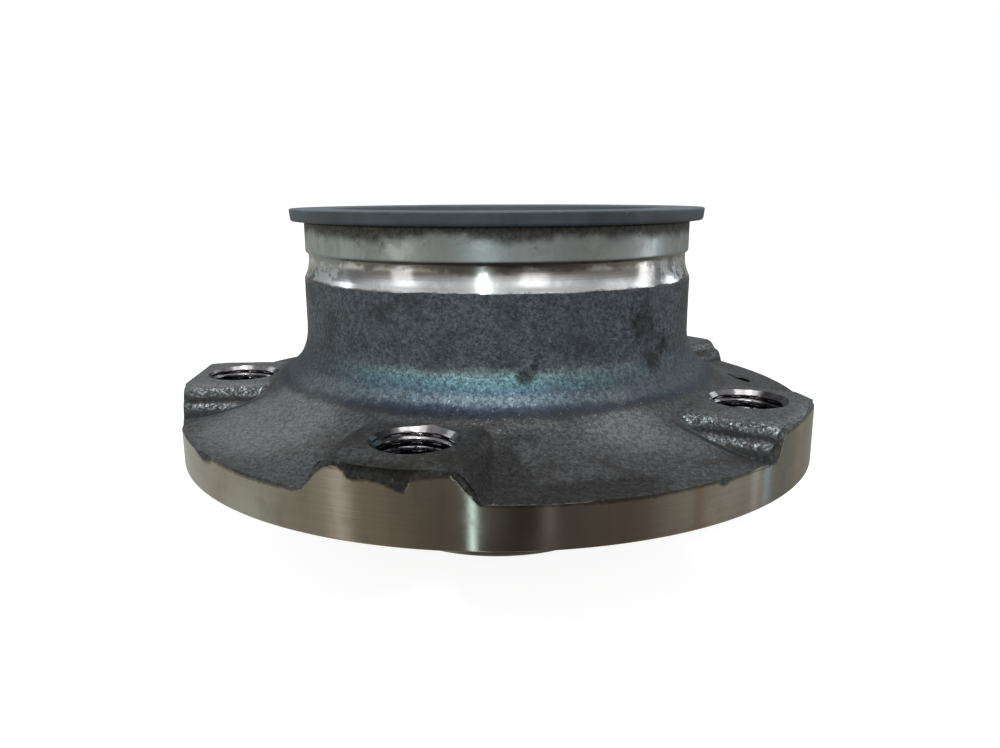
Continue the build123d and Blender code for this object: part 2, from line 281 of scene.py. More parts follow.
def boss_height(x, y):
    """Height of the five pads over the point (x, y); very low away from them."""
    sv = np.array([s[0] for s in SIDE])
    sz = np.array([s[1] for s in SIDE])
    u, v, k, w = across(x, y)
    lo = np.array([ROLL[i][0] for i in range(5)])[k]
    hi = np.array([ROLL[i][1] for i in range(5)])[k]
    roll = lo + (hi - lo) * smoothstep(-6, 6, v)
    top = BOSS_TOP - roll * np.clip((u - 61.3) / 5.7, 0, 2) ** 2
    # the pad on the left keeps its forged end wall and round corners
    e = np.clip(u - 65.0, 0, 1.95)
    end = 1.95 - np.sqrt(np.clip(1.95 ** 2 - e ** 2, 0, None))
    top = np.where(k == 4, BOSS_TOP - end, top)
    cw = np.where(v < 0, 9.8, 8.6)
    corner = np.hypot(np.clip(w - cw, 0, None), np.clip(u - 62.6, 0, None))
    w = np.where((k == 4) & (w > cw) & (u > 62.6), cw + corner, w)
    w = np.where((k == 1) & (v > 0), np.maximum(w, v + 0.82 * (u - 61.6) - 0.3), w)
    z = top + np.interp(np.clip(w, 0, 40), sv, sz)
    soft = top + np.interp(np.clip(w, 0, 40), [p[0] for p in SOFT_SIDE], [p[1] for p in SOFT_SIDE])
    r = np.hypot(x, y)
    lift = rim_lift(np.degrees(np.arctan2(y, x))) * np.clip((r - 55.5) / 8.0, 0, 1)
    step = lift + np.interp(np.clip(w, 0, 40), [p[0] for p in STEP], [p[1] for p in STEP])
    z = np.where(k == 0, soft, smooth_max(z, step, 0.30))
    return np.where(u > 20, z, -50)


def smooth_max(a, b, k):
    h = np.clip(0.5 + 0.5 * (a - b) / k, 0, 1)
    return b * (1 - h) + a * h + k * h * (1 - h)


def edge_height(deg):
    a = np.array([e[0] for e in EDGE], float)
    h = np.array([e[1] for e in EDGE], float)
    return np.interp((deg + 180) % 360 - 180, a, h)


def build_hub():
    cols = 1320
    theta = np.linspace(-math.pi, math.pi, cols, endpoint=False)
    deg = np.degrees(theta)

    # rows of the top skin: from the rim inwards and up the fillet
    dense = []
    xs = np.array(BASE)
    # smooth resample of the base curve by arc length
    seg = np.r_[0, np.cumsum(np.hypot(*np.diff(xs, axis=0).T))]
    step = 0.32
    s = np.arange(0, seg[-1], step)
    rb = np.interp(s, seg, xs[:, 0])
    zb = np.interp(s, seg, xs[:, 1])
    ker = np.ones(5) / 5
    rb[2:-2], zb[2:-2] = np.convolve(rb, ker, "valid"), np.convolve(zb, ker, "valid")

    up = polyline([(BODY_R, 27.4), (BODY_R - 0.02, 33.0), (41.12, 35.0)], 0.5)
    flare = FLARE
    fz = np.concatenate([np.arange(35.2, 41.4, 0.09), [41.4]])
    fr = np.interp(fz, [p[1] for p in flare], [p[0] for p in flare])
    ker = np.array([1, 2, 3, 2, 1]) / 9
    fr[2:-2] = np.convolve(fr, ker, "valid")
    groove = list(zip(fr.tolist(), fz.tolist()))
    seat = polyline([(40.74, 41.5), (40.74, 46.8)], 0.4)
    rest = [(40.34, 47.26), (35.1, 47.26), (34.8, 46.96), (34.8, 44.4), (33.8, 44.4), (33.4, 44.0), (33.4, 39.9), (31.2, 38.6)]
    rest = soften(rest, 0.1, 2)

    def arc(cr, cz, r, a0, a1, n):
        return [(cr + r * math.cos(math.radians(a)), cz + r * math.sin(math.radians(a))) for a in np.linspace(a0, a1, n)]

    # raceways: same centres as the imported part
    d = 6.19 - (11.906 / 2 + 0.03)
    al = math.radians(38)
    ir, iz = 26.5 - d * math.cos(al), 33.2 + d * math.sin(al)
    orr, oz = 26.5 - d * math.cos(al), 8.2 - d * math.sin(al)
    ish = math.degrees(math.asin(math.sqrt(6.19 ** 2 - (28.0 - ir) ** 2) / 6.19))
    inner = arc(ir, iz, 6.19, 46, -ish, 22) + arc(orr, oz, 6.19, ish, -46, 22)
    o_open = (orr + 6.19 * math.cos(math.radians(46)), oz - 6.19 * math.sin(math.radians(46)))
    low = [(o_open[0], 3.2), (28.8, 0.8), (25.2, 0.8), (25.2, -7.5), (25.7, -8.0), (26.2, -8.0), (26.2, -18.0),
           (26.7, PILOT_TIP), (27.3, PILOT_TIP), (28.5, PILOT_TIP + 1.2), (28.5, -7.0), (29.0, -6.5), (31.5, -6.5), (32.5, -5.5),
           (32.5, 0.6), (39.0, 0.6), (39.6, 0.0)]
    low = soften(low, 0.12, 2)[1:-1]
    face = polyline([(39.75, 0.0), (65.3, 0.0)], 2.0)
    rimlow = soften([(65.3, 0.0), (65.7, 0.0), (67.0, 0.62), (67.0, 0.9)], 0.14, 3)[4:-4]

    # rim rows: fractions of the way up the rim, the last ones close to the edge
    n_rim = 34
    frac = np.linspace(0, 1, n_rim)

    const = []          # rows before the rim (fixed r, z)
    rows_R, rows_Z, tag = [], [], []

    def add_const(pts, t):
        for r, z in pts:
            rows_R.append(np.full(cols, r)); rows_Z.append(np.full(cols, z)); tag.append(t)

    # order: up the bore and round: wheel face outwards, rim up, top inwards, body up, end face, bore down
    add_const(face, 4)
    add_const(rimlow, 1)
    # height of the forged skin where it meets the rim
    X = FLANGE_R * np.cos(theta); Y = FLANGE_R * np.sin(theta)
    lift = rim_lift(deg)
    z_edge = smooth_max(8.05 + lift, boss_height(X, Y), 0.5)
    P = np.stack([X, Y, np.full(cols, 5.0)], 1)
    z_edge = z_edge + 0.10 * fbm(P, 5.0, 3, 11)
    for f in frac:
        z = 0.95 + (z_edge - 0.14 - 0.95) * f
        rows_R.append(np.full(cols, FLANGE_R)); rows_Z.append(z); tag.append(1)
    rows_R.append(np.full(cols, FLANGE_R - 0.05)); rows_Z.append(z_edge - 0.03); tag.append(0)
    for k, (r, zc) in enumerate(zip(rb, zb)):
        if r > FLANGE_R - 0.16:
            r = FLANGE_R - 0.16
        X = r * np.cos(theta); Y = r * np.sin(theta)
        z = zc + lift * float(np.clip((r - 55.5) / 8.0, 0, 1))
        if r > 44.0:
            z = smooth_max(z, boss_height(X, Y), 0.55)
        rows_R.append(np.full(cols, r)); rows_Z.append(z); tag.append(0)
    add_const(up, 2)
    add_const(groove, 6)
    add_const(seat, 3)
    add_const(rest, 5)
    add_const(inner, 5)
    add_const(low, 4)
    R = np.array(rows_R); Z = np.array(rows_Z); T = np.array(tag)

    # forged skin: slightly uneven, and set back where the turning tool missed it
    TH = np.tile(theta, (R.shape[0], 1))
    pts = np.stack([R * np.cos(TH), R * np.sin(TH), Z], -1).reshape(-1, 3)
    n1 = fbm(pts, 6.5, 3, 21).reshape(R.shape)
    n2 = fbm(pts, 1.7, 2, 31).reshape(R.shape)
    skin = ((T == 0)[:, None]) & (R < FLANGE_R - 0.3)
    bodyskin = (T == 2)[:, None]
    fade = smoothstep(FLANGE_R, FLANGE_R - 2.0, R)
    Z = Z + np.where(skin, (0.12 * n1 + 0.05 * n2) * fade, 0)
    slope = smoothstep(14.5, 20.0, Z)
    R = R + np.where(skin, (0.10 * n1 + 0.04 * n2) * slope, 0)
    # the body is forged a little out of round, so the turned flare runs out on it at an uneven height
    DEG = np.degrees(TH)
    oval = -0.10 * np.exp(-((DEG + 90) / 38.0) ** 2) + 0.03
    forged_r = 0.09 * n1 + 0.03 * n2 + oval * smoothstep(26, 33, Z)
    R = R + np.where(bodyskin, forged_r, 0)
    R = np.where((T == 6)[:, None] & (Z < 38.0), np.minimum(R, BODY_R - 0.02 + forged_r), R)
    H = edge_height(np.degrees(TH))
    missed = (T == 1)[:, None] & (Z > H)
    depth = 0.5 * smoothstep(0.0, 1.4, Z - H) + 0.12 * smoothstep(0, 0.15, Z - H)
    R = R - np.where(missed, depth * (1 + 0.4 * n2), 0)
    top0 = (T == 0)[:, None] & (R > FLANGE_R - 0.3)
    R = np.where(top0, np.minimum(R, FLANGE_R - 0.05 - 0.62 * smoothstep(0.0, 1.4, Z - H)), R)

    me = outward(ring_mesh("hub_flange_body", R, Z, theta))
    return me


def thread_cutter(name, cx, cy, r_minor, r_major, pitch, z0, z1, mouth_top, mouth_bottom, cone, top_cone_r):
    """The hole as a solid: helical thread with a countersink at both ends."""
    n = 168
    dz = pitch / 12.0
    zs = np.arange(z0, z1 + dz / 2, dz)
    th = np.linspace(0, 2 * math.pi, n, endpoint=False)
    ph = (zs[:, None] / pitch - th[None, :] / (2 * math.pi)) % 1.0
    tri = 1 - np.abs(ph * 2 - 1)                       # 0 at crest, 1 at root
    prof = np.clip((tri - 0.14) / 0.74, 0, 1)
    R = r_minor + (r_major - r_minor) * prof
    if mouth_top is not None:
        R = np.maximum(R, np.minimum(mouth_top[0] + cone * (zs - mouth_top[1]), top_cone_r)[:, None])
    if mouth_bottom is not None:
        R = np.maximum(R, (mouth_bottom - zs)[:, None])
    Z = np.tile(zs[:, None], (1, n))
    rows, cols = R.shape
    x = cx + R * np.cos(th)[None, :]
    y = cy + R * np.sin(th)[None, :]
    co = np.stack([x, y, Z], -1).reshape(-1, 3)
    co = np.vstack([co, [[cx, cy, zs[0]], [cx, cy, zs[-1]]]]) * MM
    faces = []
    i = np.arange(rows - 1)[:, None] * cols
    j = np.arange(cols)[None, :]
    j2 = (j + 1) % cols
    q = np.stack([i + j, i + j2, i + cols + j2, i + cols + j], -1).reshape(-1, 4).tolist()
    jj = np.arange(cols)
    b, t = rows * cols, rows * cols + 1
    lo = [[b, int((k + 1) % cols), int(k)] for k in jj]
    off = (rows - 1) * cols
    hi = [[t, int(off + k), int(off + (k + 1) % cols)] for k in jj]
    me = bpy.data.meshes.new(name)
    me.from_pydata(co.tolist(), [], q + lo + hi)
    me.update()
    at = me.attributes.new("drilled", "INT", "FACE")
    at.data.foreach_set("value", np.ones(len(me.polygons), np.int32))
    return outward(me)


def cut(target, cutters):
    for c in cutters:
        m = target.modifiers.new("cut", "BOOLEAN")
        m.operation = "DIFFERENCE"
        m.solver = "MANIFOLD"
        m.object = c
    dg = bpy.context.evaluated_depsgraph_get()
    me = bpy.data.meshes.new_from_object(target.evaluated_get(dg))
    target.modifiers.clear()
    old = target.data
    target.data = me
    bpy.data.meshes.remove(old)
    for c in cutters:
        m = c.data
        bpy.data.objects.remove(c)
        bpy.data.meshes.remove(m)
    return target


CONE = 1.1
hub = obj("hub_flange_forging", build_hub())
hub.data.attributes.new("drilled", "INT", "FACE")
cutters = []
for k, dg_ in enumerate(BOLTS):
    a = math.radians(dg_)
    cutters.append(obj(f"cut{k}", thread_cutter(f"cut{k}", BOLT_R * math.cos(a), BOLT_R * math.sin(a), 6.19, 6.98, 1.5,
                                                -1.5, 19.5, (MOUTH_R, BOSS_TOP), MOUTH_R, CONE, 11.5)))
a = math.radians(SCREW_DEG)
cutters.append(obj("cut9", thread_cutter("cut9", BOLT_R * math.cos(a), BOLT_R * math.sin(a), 2.5, 2.98, 1.0,
                                         -1.5, 14.0, (2.66, 10.9), 3.2, 1.0, 3.1)))
cutters[-1].data.attributes["drilled"].data.foreach_set("value", np.full(len(cutters[-1].data.polygons), 2, np.int32))
cut(hub, cutters)
hub.data.name = "hub_flange_forging"


def classify(me):
    co = coords(me) / MM
    n = len(me.polygons)
    cen = np.zeros(n * 3, np.float32)
    me.polygons.foreach_get("center", cen)
    cen = cen.reshape(-1, 3).astype(float) / MM
    r = np.hypot(cen[:, 0], cen[:, 1])
    z = cen[:, 2]
    idx = np.zeros(n, np.int32)                                 # 0 forged skin with turned rim
    idx[(r < 41.6) & (z > 35.22)] = 1                            # groove and flare
    run_out = np.interp(z, [p[1] for p in FLARE], [p[0] for p in FLARE])
    idx[(idx == 1) & (z < 38) & (r < run_out - 0.02)] = 0
    idx[(r < 41.3) & (z > 41.08)] = 2                            # ground seat
    idx[(r < 35.3) & (z > -17.9)] = 3                            # bore, raceways
    idx[(z < 0.02) & (r > 32.0)] = 4                             # wheel face
    idx[(r < 39.8) & (z < 0.9) & (r > 26.0)] = 4
    idx[(r < 28.9) & (z < -6.6)] = 4
    at = me.attributes.get("drilled")
    drilled = np.zeros(n, np.int32)
    at.data.foreach_get("value", drilled)
    hole = drilled > 0
    idx[hole] = 5
    idx[drilled == 2] = 6
    cone = np.zeros(n, bool)
    for b in BOLTS:
        aa = math.radians(b)
        d = np.hypot(cen[:, 0] - BOLT_R * math.cos(aa), cen[:, 1] - BOLT_R * math.sin(aa))
        cone |= (d > 6.99) & (z > 12)
    idx[cone & (drilled == 1)] = 7
    me.polygons.foreach_set("material_index", idx)
    # how far below the edge of the forged skin a point of the rim lies, in mm
    rr = np.hypot(co[:, 0], co[:, 1])
    deg = np.degrees(np.arctan2(co[:, 1], co[:, 0]))
    below = edge_height(deg) - co[:, 2]
    rim = rr > FLANGE_R - 0.75
    turned = np.where(rim & (rr > FLANGE_R - 0.03), np.clip(below, -4, 4), np.where(rim & (below > 0), -0.15, -4))
    turned = np.where((rr > 64.0) & (co[:, 2] < 2.5), 4, turned)
    float_attr(me, "turned", turned)
    # crests of the pads' flanks, and painted shade in the creases at their feet
    X, Y, Zc = co[:, 0], co[:, 1], co[:, 2]
    u, v, k, w = across(X, Y)
    base = base_height(np.clip(rr, 40, 67)) + rim_lift(deg) * np.clip((rr - 55.5) / 8, 0, 1)
    proud = boss_height(X, Y) - base
    top = (rr > 43) & (Zc > 6)
    edges = np.array([0.22, 1.0, 0.7, 0.8, 1.0])[k] * smoothstep(49.0, 52.0, rr) * top
    float_attr(me, "crest", edges)
    float_attr(me, "flank", np.clip(np.where(u > 20, w, 40), 0, 40))
    dd = (deg + 31.5 + 180) % 360 - 180
    end = smoothstep(13, 11, np.abs(dd)) * smoothstep(64.2, 65.6, rr) * (Zc > 11.6) * 0.75
    float_attr(me, "worn_end", end * (k == 1))
    crease_shade = np.exp(-((w - 15.7) / 0.75) ** 2) * smoothstep(49, 53, rr) * top * np.array([0.35, 1.0, 0.8, 0.8, 1.0])[k]
    float_attr(me, "crease_shade", np.clip(crease_shade, 0, 1))
    pad = smoothstep(0.2, 1.0, proud) * smoothstep(12.6, 11.4, w) * top
    float_attr(me, "pad", pad)

    def lobe(az, r, sa, sr, amp=1.0):
        d = (deg - az + 180) % 360 - 180
        return amp * np.exp(-(d / sa) ** 2 - ((rr - r) / sr) ** 2)

    def lobez(az, z, sa, sz, amp=1.0):
        d = (deg - az + 180) % 360 - 180
        return amp * np.exp(-(d / sa) ** 2 - ((Zc - z) / sz) ** 2) * (rr < 46)

    dust = (lobe(-138, 52, 15, 11, 1.0) + lobe(-63, 50, 9, 7, 0.9) + lobe(-52, 57, 7, 4, 0.4) + lobe(-150, 58, 12, 8, 0.7) + lobe(-74, 53, 5, 5, 0.15)
            + lobe(75, 54, 16, 9, 0.8) + lobe(148, 53, 14, 9, 0.8) + lobe(10, 52, 12, 7, 0.5))
    dust = dust + 0.62 * pad * (k == 4) + 0.42 * pad * (k == 1) + 0.4 * pad * ((k == 2) | (k == 3))
    float_attr(me, "dust", np.clip(dust, 0, 1) * top)
    # stains on the flange; the two dark lobes just past the front pad, at -89 and -91.5 degrees, are a painted shadow
    # on its shaded side
    stain_and_shadow = (lobe(-89.0, 58.5, 3.2, 6.5, 1.1) + lobe(-91.5, 62, 4.0, 6.5, 0.6) + 0.44 * pad * (k == 0) + lobe(-83, 65, 11, 4.5, 0.8) + lobe(-72, 64, 10, 4.0, 0.65) + lobe(-80, 56, 6, 3.0, 0.4) + lobe(-106.3, 67.2, 4.6, 1.3, 1.0) + lobe(-84, 50, 6, 2.5, 0.45)
             + lobe(-117, 55, 4, 5, 0.35) + lobe(55, 62, 8, 5, 0.6) + lobe(128, 63, 9, 5, 0.6)) * top
    stain_and_shadow = stain_and_shadow + (lobez(-49, 29.5, 9, 6.0, 0.58) + lobez(-83.5, 21.6, 2.2, 1.7, 0.85) + lobez(-80.8, 23.6, 1.3, 1.6, 0.6) + lobez(-62, 33, 6, 2.6, 0.35)
                     + lobez(-128, 26.0, 7, 2.8, 0.45) + lobez(-46, 21.5, 5, 2.0, 0.6) + lobez(-39, 24.5, 4.0, 2.2, 0.5)
                     + lobez(20, 29, 12, 5, 0.6) + lobez(95, 27, 14, 4, 0.6) + lobez(160, 30, 10, 5, 0.6))
    float_attr(me, "stain_and_shadow", np.clip(stain_and_shadow, 0, 1))
    d = (deg + 97 + 180) % 360 - 180
    heat = 0.16 + 0.84 * np.exp(-(np.abs(d) / 29) ** 2.8) + 0.35 * np.exp(-((np.abs(d) - 150) / 40) ** 2)
    float_attr(me, "tempered", np.clip(heat, 0, 1))
    return me


hub.data.materials.clear()
classify(hub.data)
smooth(hub.data, 40)


# ---------------------------------------------------------------------------
# materials
class Nodes:
    def __init__(self, name):
        self.m = bpy.data.materials.new(name)
        self.m.use_nodes = True
        self.t = self.m.node_tree
        self.t.nodes.clear()
        self.out = self.t.nodes.new("ShaderNodeOutputMaterial")
        self.co = self.t.nodes.new("ShaderNodeTexCoord").outputs["Object"]

    def n(self, kind, **kw):
        node = self.t.nodes.new("ShaderNode" + kind)
        for k, v in kw.items():
            if k in node.inputs.keys() if hasattr(node.inputs, "keys") else False:
                self.put(node.inputs[k], v)
            else:
                setattr(node, k, v)
        return node

    def put(self, socket, v):
        if isinstance(v, bpy.types.NodeSocket):
            self.t.links.new(v, socket)
        elif v is not None:
            socket.default_value = v

    def mapping(self, scale, vec=None, loc=(0, 0, 0)):
        node = self.t.nodes.new("ShaderNodeMapping")
        self.put(node.inputs["Vector"], vec or self.co)
        node.inputs["Scale"].default_value = scale
        node.inputs["Location"].default_value = loc
        return node.outputs[0]

    def noise(self, mm, detail=3.0, rough=0.55, vec=None, distortion=0.0, out="Fac"):
        """Noise whose features are about mm millimetres across."""
        node = self.t.nodes.new("ShaderNodeTexNoise")
        self.put(node.inputs["Vector"], vec or self.co)
        node.inputs["Scale"].default_value = 1000.0 / mm
        node.inputs["Detail"].default_value = detail
        node.inputs["Roughness"].default_value = rough
        node.inputs["Distortion"].default_value = distortion
        return node.outputs[out]

    def voronoi(self, mm, feature="F1", vec=None, rand=1.0, out="Distance"):
        node = self.t.nodes.new("ShaderNodeTexVoronoi")
        node.feature = feature
        self.put(node.inputs["Vector"], vec or self.co)
        node.inputs["Scale"].default_value = 1000.0 / mm
        node.inputs["Randomness"].default_value = rand
        return node.outputs[out]

    def math(self, op, a, b=None, c=None, clamp=False):
        node = self.t.nodes.new("ShaderNodeMath")
        node.operation = op
        node.use_clamp = clamp
        for i, v in enumerate((a, b, c)):
            if v is not None:
                self.put(node.inputs[i], v)
        return node.outputs[0]

    def step(self, x, lo, hi, to0=0.0, to1=1.0, smooth=True):
        node = self.t.nodes.new("ShaderNodeMapRange")
        node.interpolation_type = "SMOOTHSTEP" if smooth else "LINEAR"
        self.put(node.inputs["Value"], x)
        node.inputs["From Min"].default_value = lo
        node.inputs["From Max"].default_value = hi
        node.inputs["To Min"].default_value = to0
        node.inputs["To Max"].default_value = to1
        return node.outputs["Result"]

    def ramp(self, x, stops, mode="LINEAR"):
        node = self.t.nodes.new("ShaderNodeValToRGB")
        cr = node.color_ramp
        cr.interpolation = mode
        while len(cr.elements) > 1:
            cr.elements.remove(cr.elements[-1])
        cr.elements[0].position = stops[0][0]
        cr.elements[0].color = (*stops[0][1], 1)
        for p, c in stops[1:]:
            e = cr.elements.new(p)
            e.color = (*c, 1)
        self.put(node.inputs[0], x)
        return node.outputs[0]

    def mix(self, f, a, b, mode="MIX"):
        node = self.t.nodes.new("ShaderNodeMix")
        node.data_type = "RGBA"
        node.blend_type = mode
        node.clamp_factor = True
        self.put(node.inputs[0], f)
        for s, v in ((node.inputs[6], a), (node.inputs[7], b)):
            if isinstance(v, tuple):
                v = (*v, 1.0)
            self.put(s, v)
        return node.outputs[2]

    def mixf(self, f, a, b):
        node = self.t.nodes.new("ShaderNodeMix")
        node.data_type = "FLOAT"
        self.put(node.inputs[0], f)
        self.put(node.inputs[2], a)
        self.put(node.inputs[3], b)
        return node.outputs[0]

    def xyz(self):
        node = self.t.nodes.new("ShaderNodeSeparateXYZ")
        self.put(node.inputs[0], self.co)
        x, y, z = node.outputs
        self.x, self.y, self.z = x, y, z
        self.r = self.math("SQRT", self.math("ADD", self.math("MULTIPLY", x, x), self.math("MULTIPLY", y, y)))
        self.ang = self.math("MULTIPLY", self.math("ARCTAN2", y, x), 180 / math.pi)
        self.zmm = self.math("MULTIPLY", z, 1000.0)
        self.rmm = self.math("MULTIPLY", self.r, 1000.0)
        return self

    def bump(self, height, strength=1.0, dist=0.0001, normal=None):
        node = self.t.nodes.new("ShaderNodeBump")
        self.put(node.inputs["Height"], height)
        node.inputs["Strength"].default_value = strength
        node.inputs["Distance"].default_value = dist
        if normal is not None:
            self.put(node.inputs["Normal"], normal)
        return node.outputs[0]

    def principled(self, **kw):
        node = self.t.nodes.new("ShaderNodeBsdfPrincipled")
        for k, v in kw.items():
            k = k.replace("_", " ")
            if isinstance(v, tuple) and len(v) == 3 and "Color" in k:
                v = (*v, 1.0)
            if isinstance(v, tuple) and k == "Base Color" and len(v) == 3:
                v = (*v, 1.0)
            self.put(node.inputs[k], v)
        return node

    def finish(self, shader):
        self.t.links.new(shader.outputs[0] if not isinstance(shader, bpy.types.NodeSocket) else shader, self.out.inputs[0])
        return self.m

    def tangent(self):
        node = self.t.nodes.new("ShaderNodeTangent")
        node.direction_type = "RADIAL"
        node.axis = "Z"
        return node.outputs[0]

    def near(self, x, mid, half, soft):
        """1 within half of mid, falling to 0 over soft."""
        d = self.math("ABSOLUTE", self.math("SUBTRACT", x, mid))
        return self.step(d, half + soft, half)


def attr(n, name):
    node = n.t.nodes.new("ShaderNodeAttribute")
    node.attribute_name = name
    return node.outputs["Fac"]


def forged_shader(n):
    """Dark forging scale: blue-grey grains with bright crystals, brown film, heat tint on the fillet."""
    crest, crease_shade, dust, stain_and_shadow, pad, heat = (attr(n, k) for k in ("crest", "crease_shade", "dust", "stain_and_shadow", "pad", "tempered"))
    g1 = n.noise(0.72, 3.0, 0.62)
    g2 = n.noise(0.34, 2.0, 0.6)
    cell = n.t.nodes.new("ShaderNodeTexVoronoi")
    cell.inputs["Vector"].default_value = (0, 0, 0)
    n.put(cell.inputs["Vector"], n.co)
    cell.inputs["Scale"].default_value = 1000.0 / 0.40
    rnd = n.t.nodes.new("ShaderNodeSeparateColor")
    n.put(rnd.inputs[0], cell.outputs["Color"])
    pick, tone, lean = rnd.outputs
    mid = n.noise(1.5, 4.0, 0.6)
    big = n.noise(7.5, 4.0, 0.62, distortion=0.5)
    huge = n.noise(24.0, 3.0, 0.5)
    ragged = n.math("MULTIPLY", n.math("SUBTRACT", mid, 0.5), 0.9)
    # painted highlight along the rounded edge of each pad and of the low step at its foot, partly wear, and painted
    # shade on the steep wall that separates them
    flank = n.math("ADD", attr(n, "flank"), n.math("MULTIPLY", ragged, 0.5))
    zr = n.math("ADD", n.zmm, n.math("MULTIPLY", ragged, 0.9))
    upper = n.math("MULTIPLY", n.near(zr, 13.0, 0.45, 0.65), n.math("MULTIPLY", n.step(flank, 11.3, 12.2), n.step(flank, 14.4, 13.9)))
    lower = n.math("MULTIPLY", n.near(zr, 10.45, 0.32, 0.50), n.math("MULTIPLY", n.step(flank, 13.3, 13.9), n.step(flank, 15.7, 15.2)))
    wall_shade = n.math("MULTIPLY", n.near(zr, 11.55, 0.22, 0.4), n.math("MULTIPLY", n.step(flank, 12.9, 13.3), n.step(flank, 14.6, 14.2)))
    wear_and_highlight = n.math("MAXIMUM", n.math("MULTIPLY", n.math("MAXIMUM", upper, lower), crest), attr(n, "worn_end"))
    wall_shade = n.math("MULTIPLY", wall_shade, n.step(crest, 0.3, 0.8))
    grain = n.math("ADD", n.math("MULTIPLY", g1, 0.6), n.math("MULTIPLY", g2, 0.4))
    c = n.mix(n.step(grain, 0.33, 0.67), (0.058, 0.068, 0.082), (0.185, 0.212, 0.245))
    c = n.mix(n.step(mid, 0.42, 0.68, 0.0, 0.50), c, (0.050, 0.058, 0.070))
    c = n.mix(n.step(big, 0.48, 0.64, 0.0, 0.55), c, (0.046, 0.050, 0.056))
    # the fillet away from the heated band is duller
    dull = n.math("MULTIPLY", n.step(n.zmm, 23.0, 18.5), n.step(n.zmm, 14.4, 16.0))
    c = n.mix(n.math("MULTIPLY", dull, 0.55), c, (0.030, 0.035, 0.042))
    # brown film low down on the flange, blue-grey on the neck
    low = n.step(n.zmm, 16.6, 15.0)
    c = n.mix(n.math("MULTIPLY", low, 0.74), c, n.mix(n.step(grain, 0.36, 0.66), (0.025, 0.0222, 0.0190), (0.075, 0.068, 0.058)))
    c = n.mix(n.math("MULTIPLY", n.math("MULTIPLY", low, n.step(big, 0.46, 0.64)), 0.45), c, (0.040, 0.033, 0.027))
    # dusty light scale
    dn = n.step(n.math("ADD", dust, ragged), 0.15, 0.85)
    c = n.mix(n.math("MULTIPLY", dn, 0.62), c, n.mix(n.step(grain, 0.34, 0.66), (0.105, 0.106, 0.106), (0.265, 0.268, 0.268)))
    # heat tint left on the fillet by hardening the raceway behind it
    wob = n.math("MULTIPLY", n.math("SUBTRACT", n.noise(6.0, 3.0, 0.6), 0.5), 1.3)
    hz = n.math("ADD", n.math("ADD", n.zmm, wob), n.math("MULTIPLY", ragged, 0.9))
    band = n.step(hz, 15.2, 24.2, smooth=False)
    tint = n.ramp(band, [(0.0, (0.022, 0.021, 0.022)), (0.10, (0.010, 0.013, 0.026)), (0.17, (0.034, 0.048, 0.080)),
                         (0.23, (0.155, 0.195, 0.230)), (0.32, (0.175, 0.230, 0.270)), (0.44, (0.095, 0.165, 0.220)),
                         (0.58, (0.165, 0.320, 0.365)), (0.72, (0.270, 0.430, 0.445)), (0.83, (0.285, 0.345, 0.335)), (0.92, (0.120, 0.142, 0.150)), (1.0, (0.070, 0.082, 0.094))])
    tint = n.mix(n.step(grain, 0.38, 0.60, 0.72, 0.0), tint, (0.026, 0.034, 0.044))
    tint = n.mix(n.math("MULTIPLY", n.step(pick, 0.78, 0.90), n.step(grain, 0.42, 0.56, 0.0, 0.35)), tint, n.mix(1.0, tint, (1.9, 1.8, 1.75), "MULTIPLY"))
    wt = n.math("MULTIPLY", n.step(hz, 14.9, 15.7), n.step(hz, 23.6, 21.2))
    wt = n.math("MULTIPLY", wt, n.math("MAXIMUM", heat, n.math("MULTIPLY", n.step(hz, 17.2, 16.2), 0.75)))
    # the tint is weaker round the sides
    wt = n.math("MULTIPLY", wt, n.step(n.math("ABSOLUTE", n.math("ADD", n.ang, 90.0)), 28.0, 56.0, 1.0, 0.74))
    c = n.mix(n.math("MULTIPLY", wt, 0.95), c, tint)
    # and the fillet is darker there
    sides = n.math("MULTIPLY", n.step(n.math("ABSOLUTE", n.math("ADD", n.ang, 90.0)), 30.0, 58.0), n.math("MULTIPLY", n.step(n.zmm, 25.5, 22.5), n.step(n.zmm, 14.4, 16.2)))
    c = n.mix(n.math("MULTIPLY", sides, 0.34), c, (0.024, 0.028, 0.034))
    # bright crystals at random, and a painted highlight of bright grains along the pad crests, partly wear
    spark = n.math("MULTIPLY", n.step(pick, 0.895, 0.93), n.step(cell.outputs["Distance"], 0.42, 0.20))
    spark = n.math("MULTIPLY", spark, n.step(grain, 0.44, 0.58))
    rub_and_highlight = n.math("MULTIPLY", n.step(n.math("ADD", wear_and_highlight, n.math("MULTIPLY", ragged, 0.6)), 0.22, 0.85), n.step(n.math("ADD", n.math("MULTIPLY", g2, 0.60), n.math("MULTIPLY", pick, 0.40)), 0.42, 0.74))
    c = n.mix(n.math("MULTIPLY", spark, 0.7), c, (0.36, 0.40, 0.42))
    c = n.mix(n.math("MULTIPLY", rub_and_highlight, 0.75), c, (0.30, 0.335, 0.345))
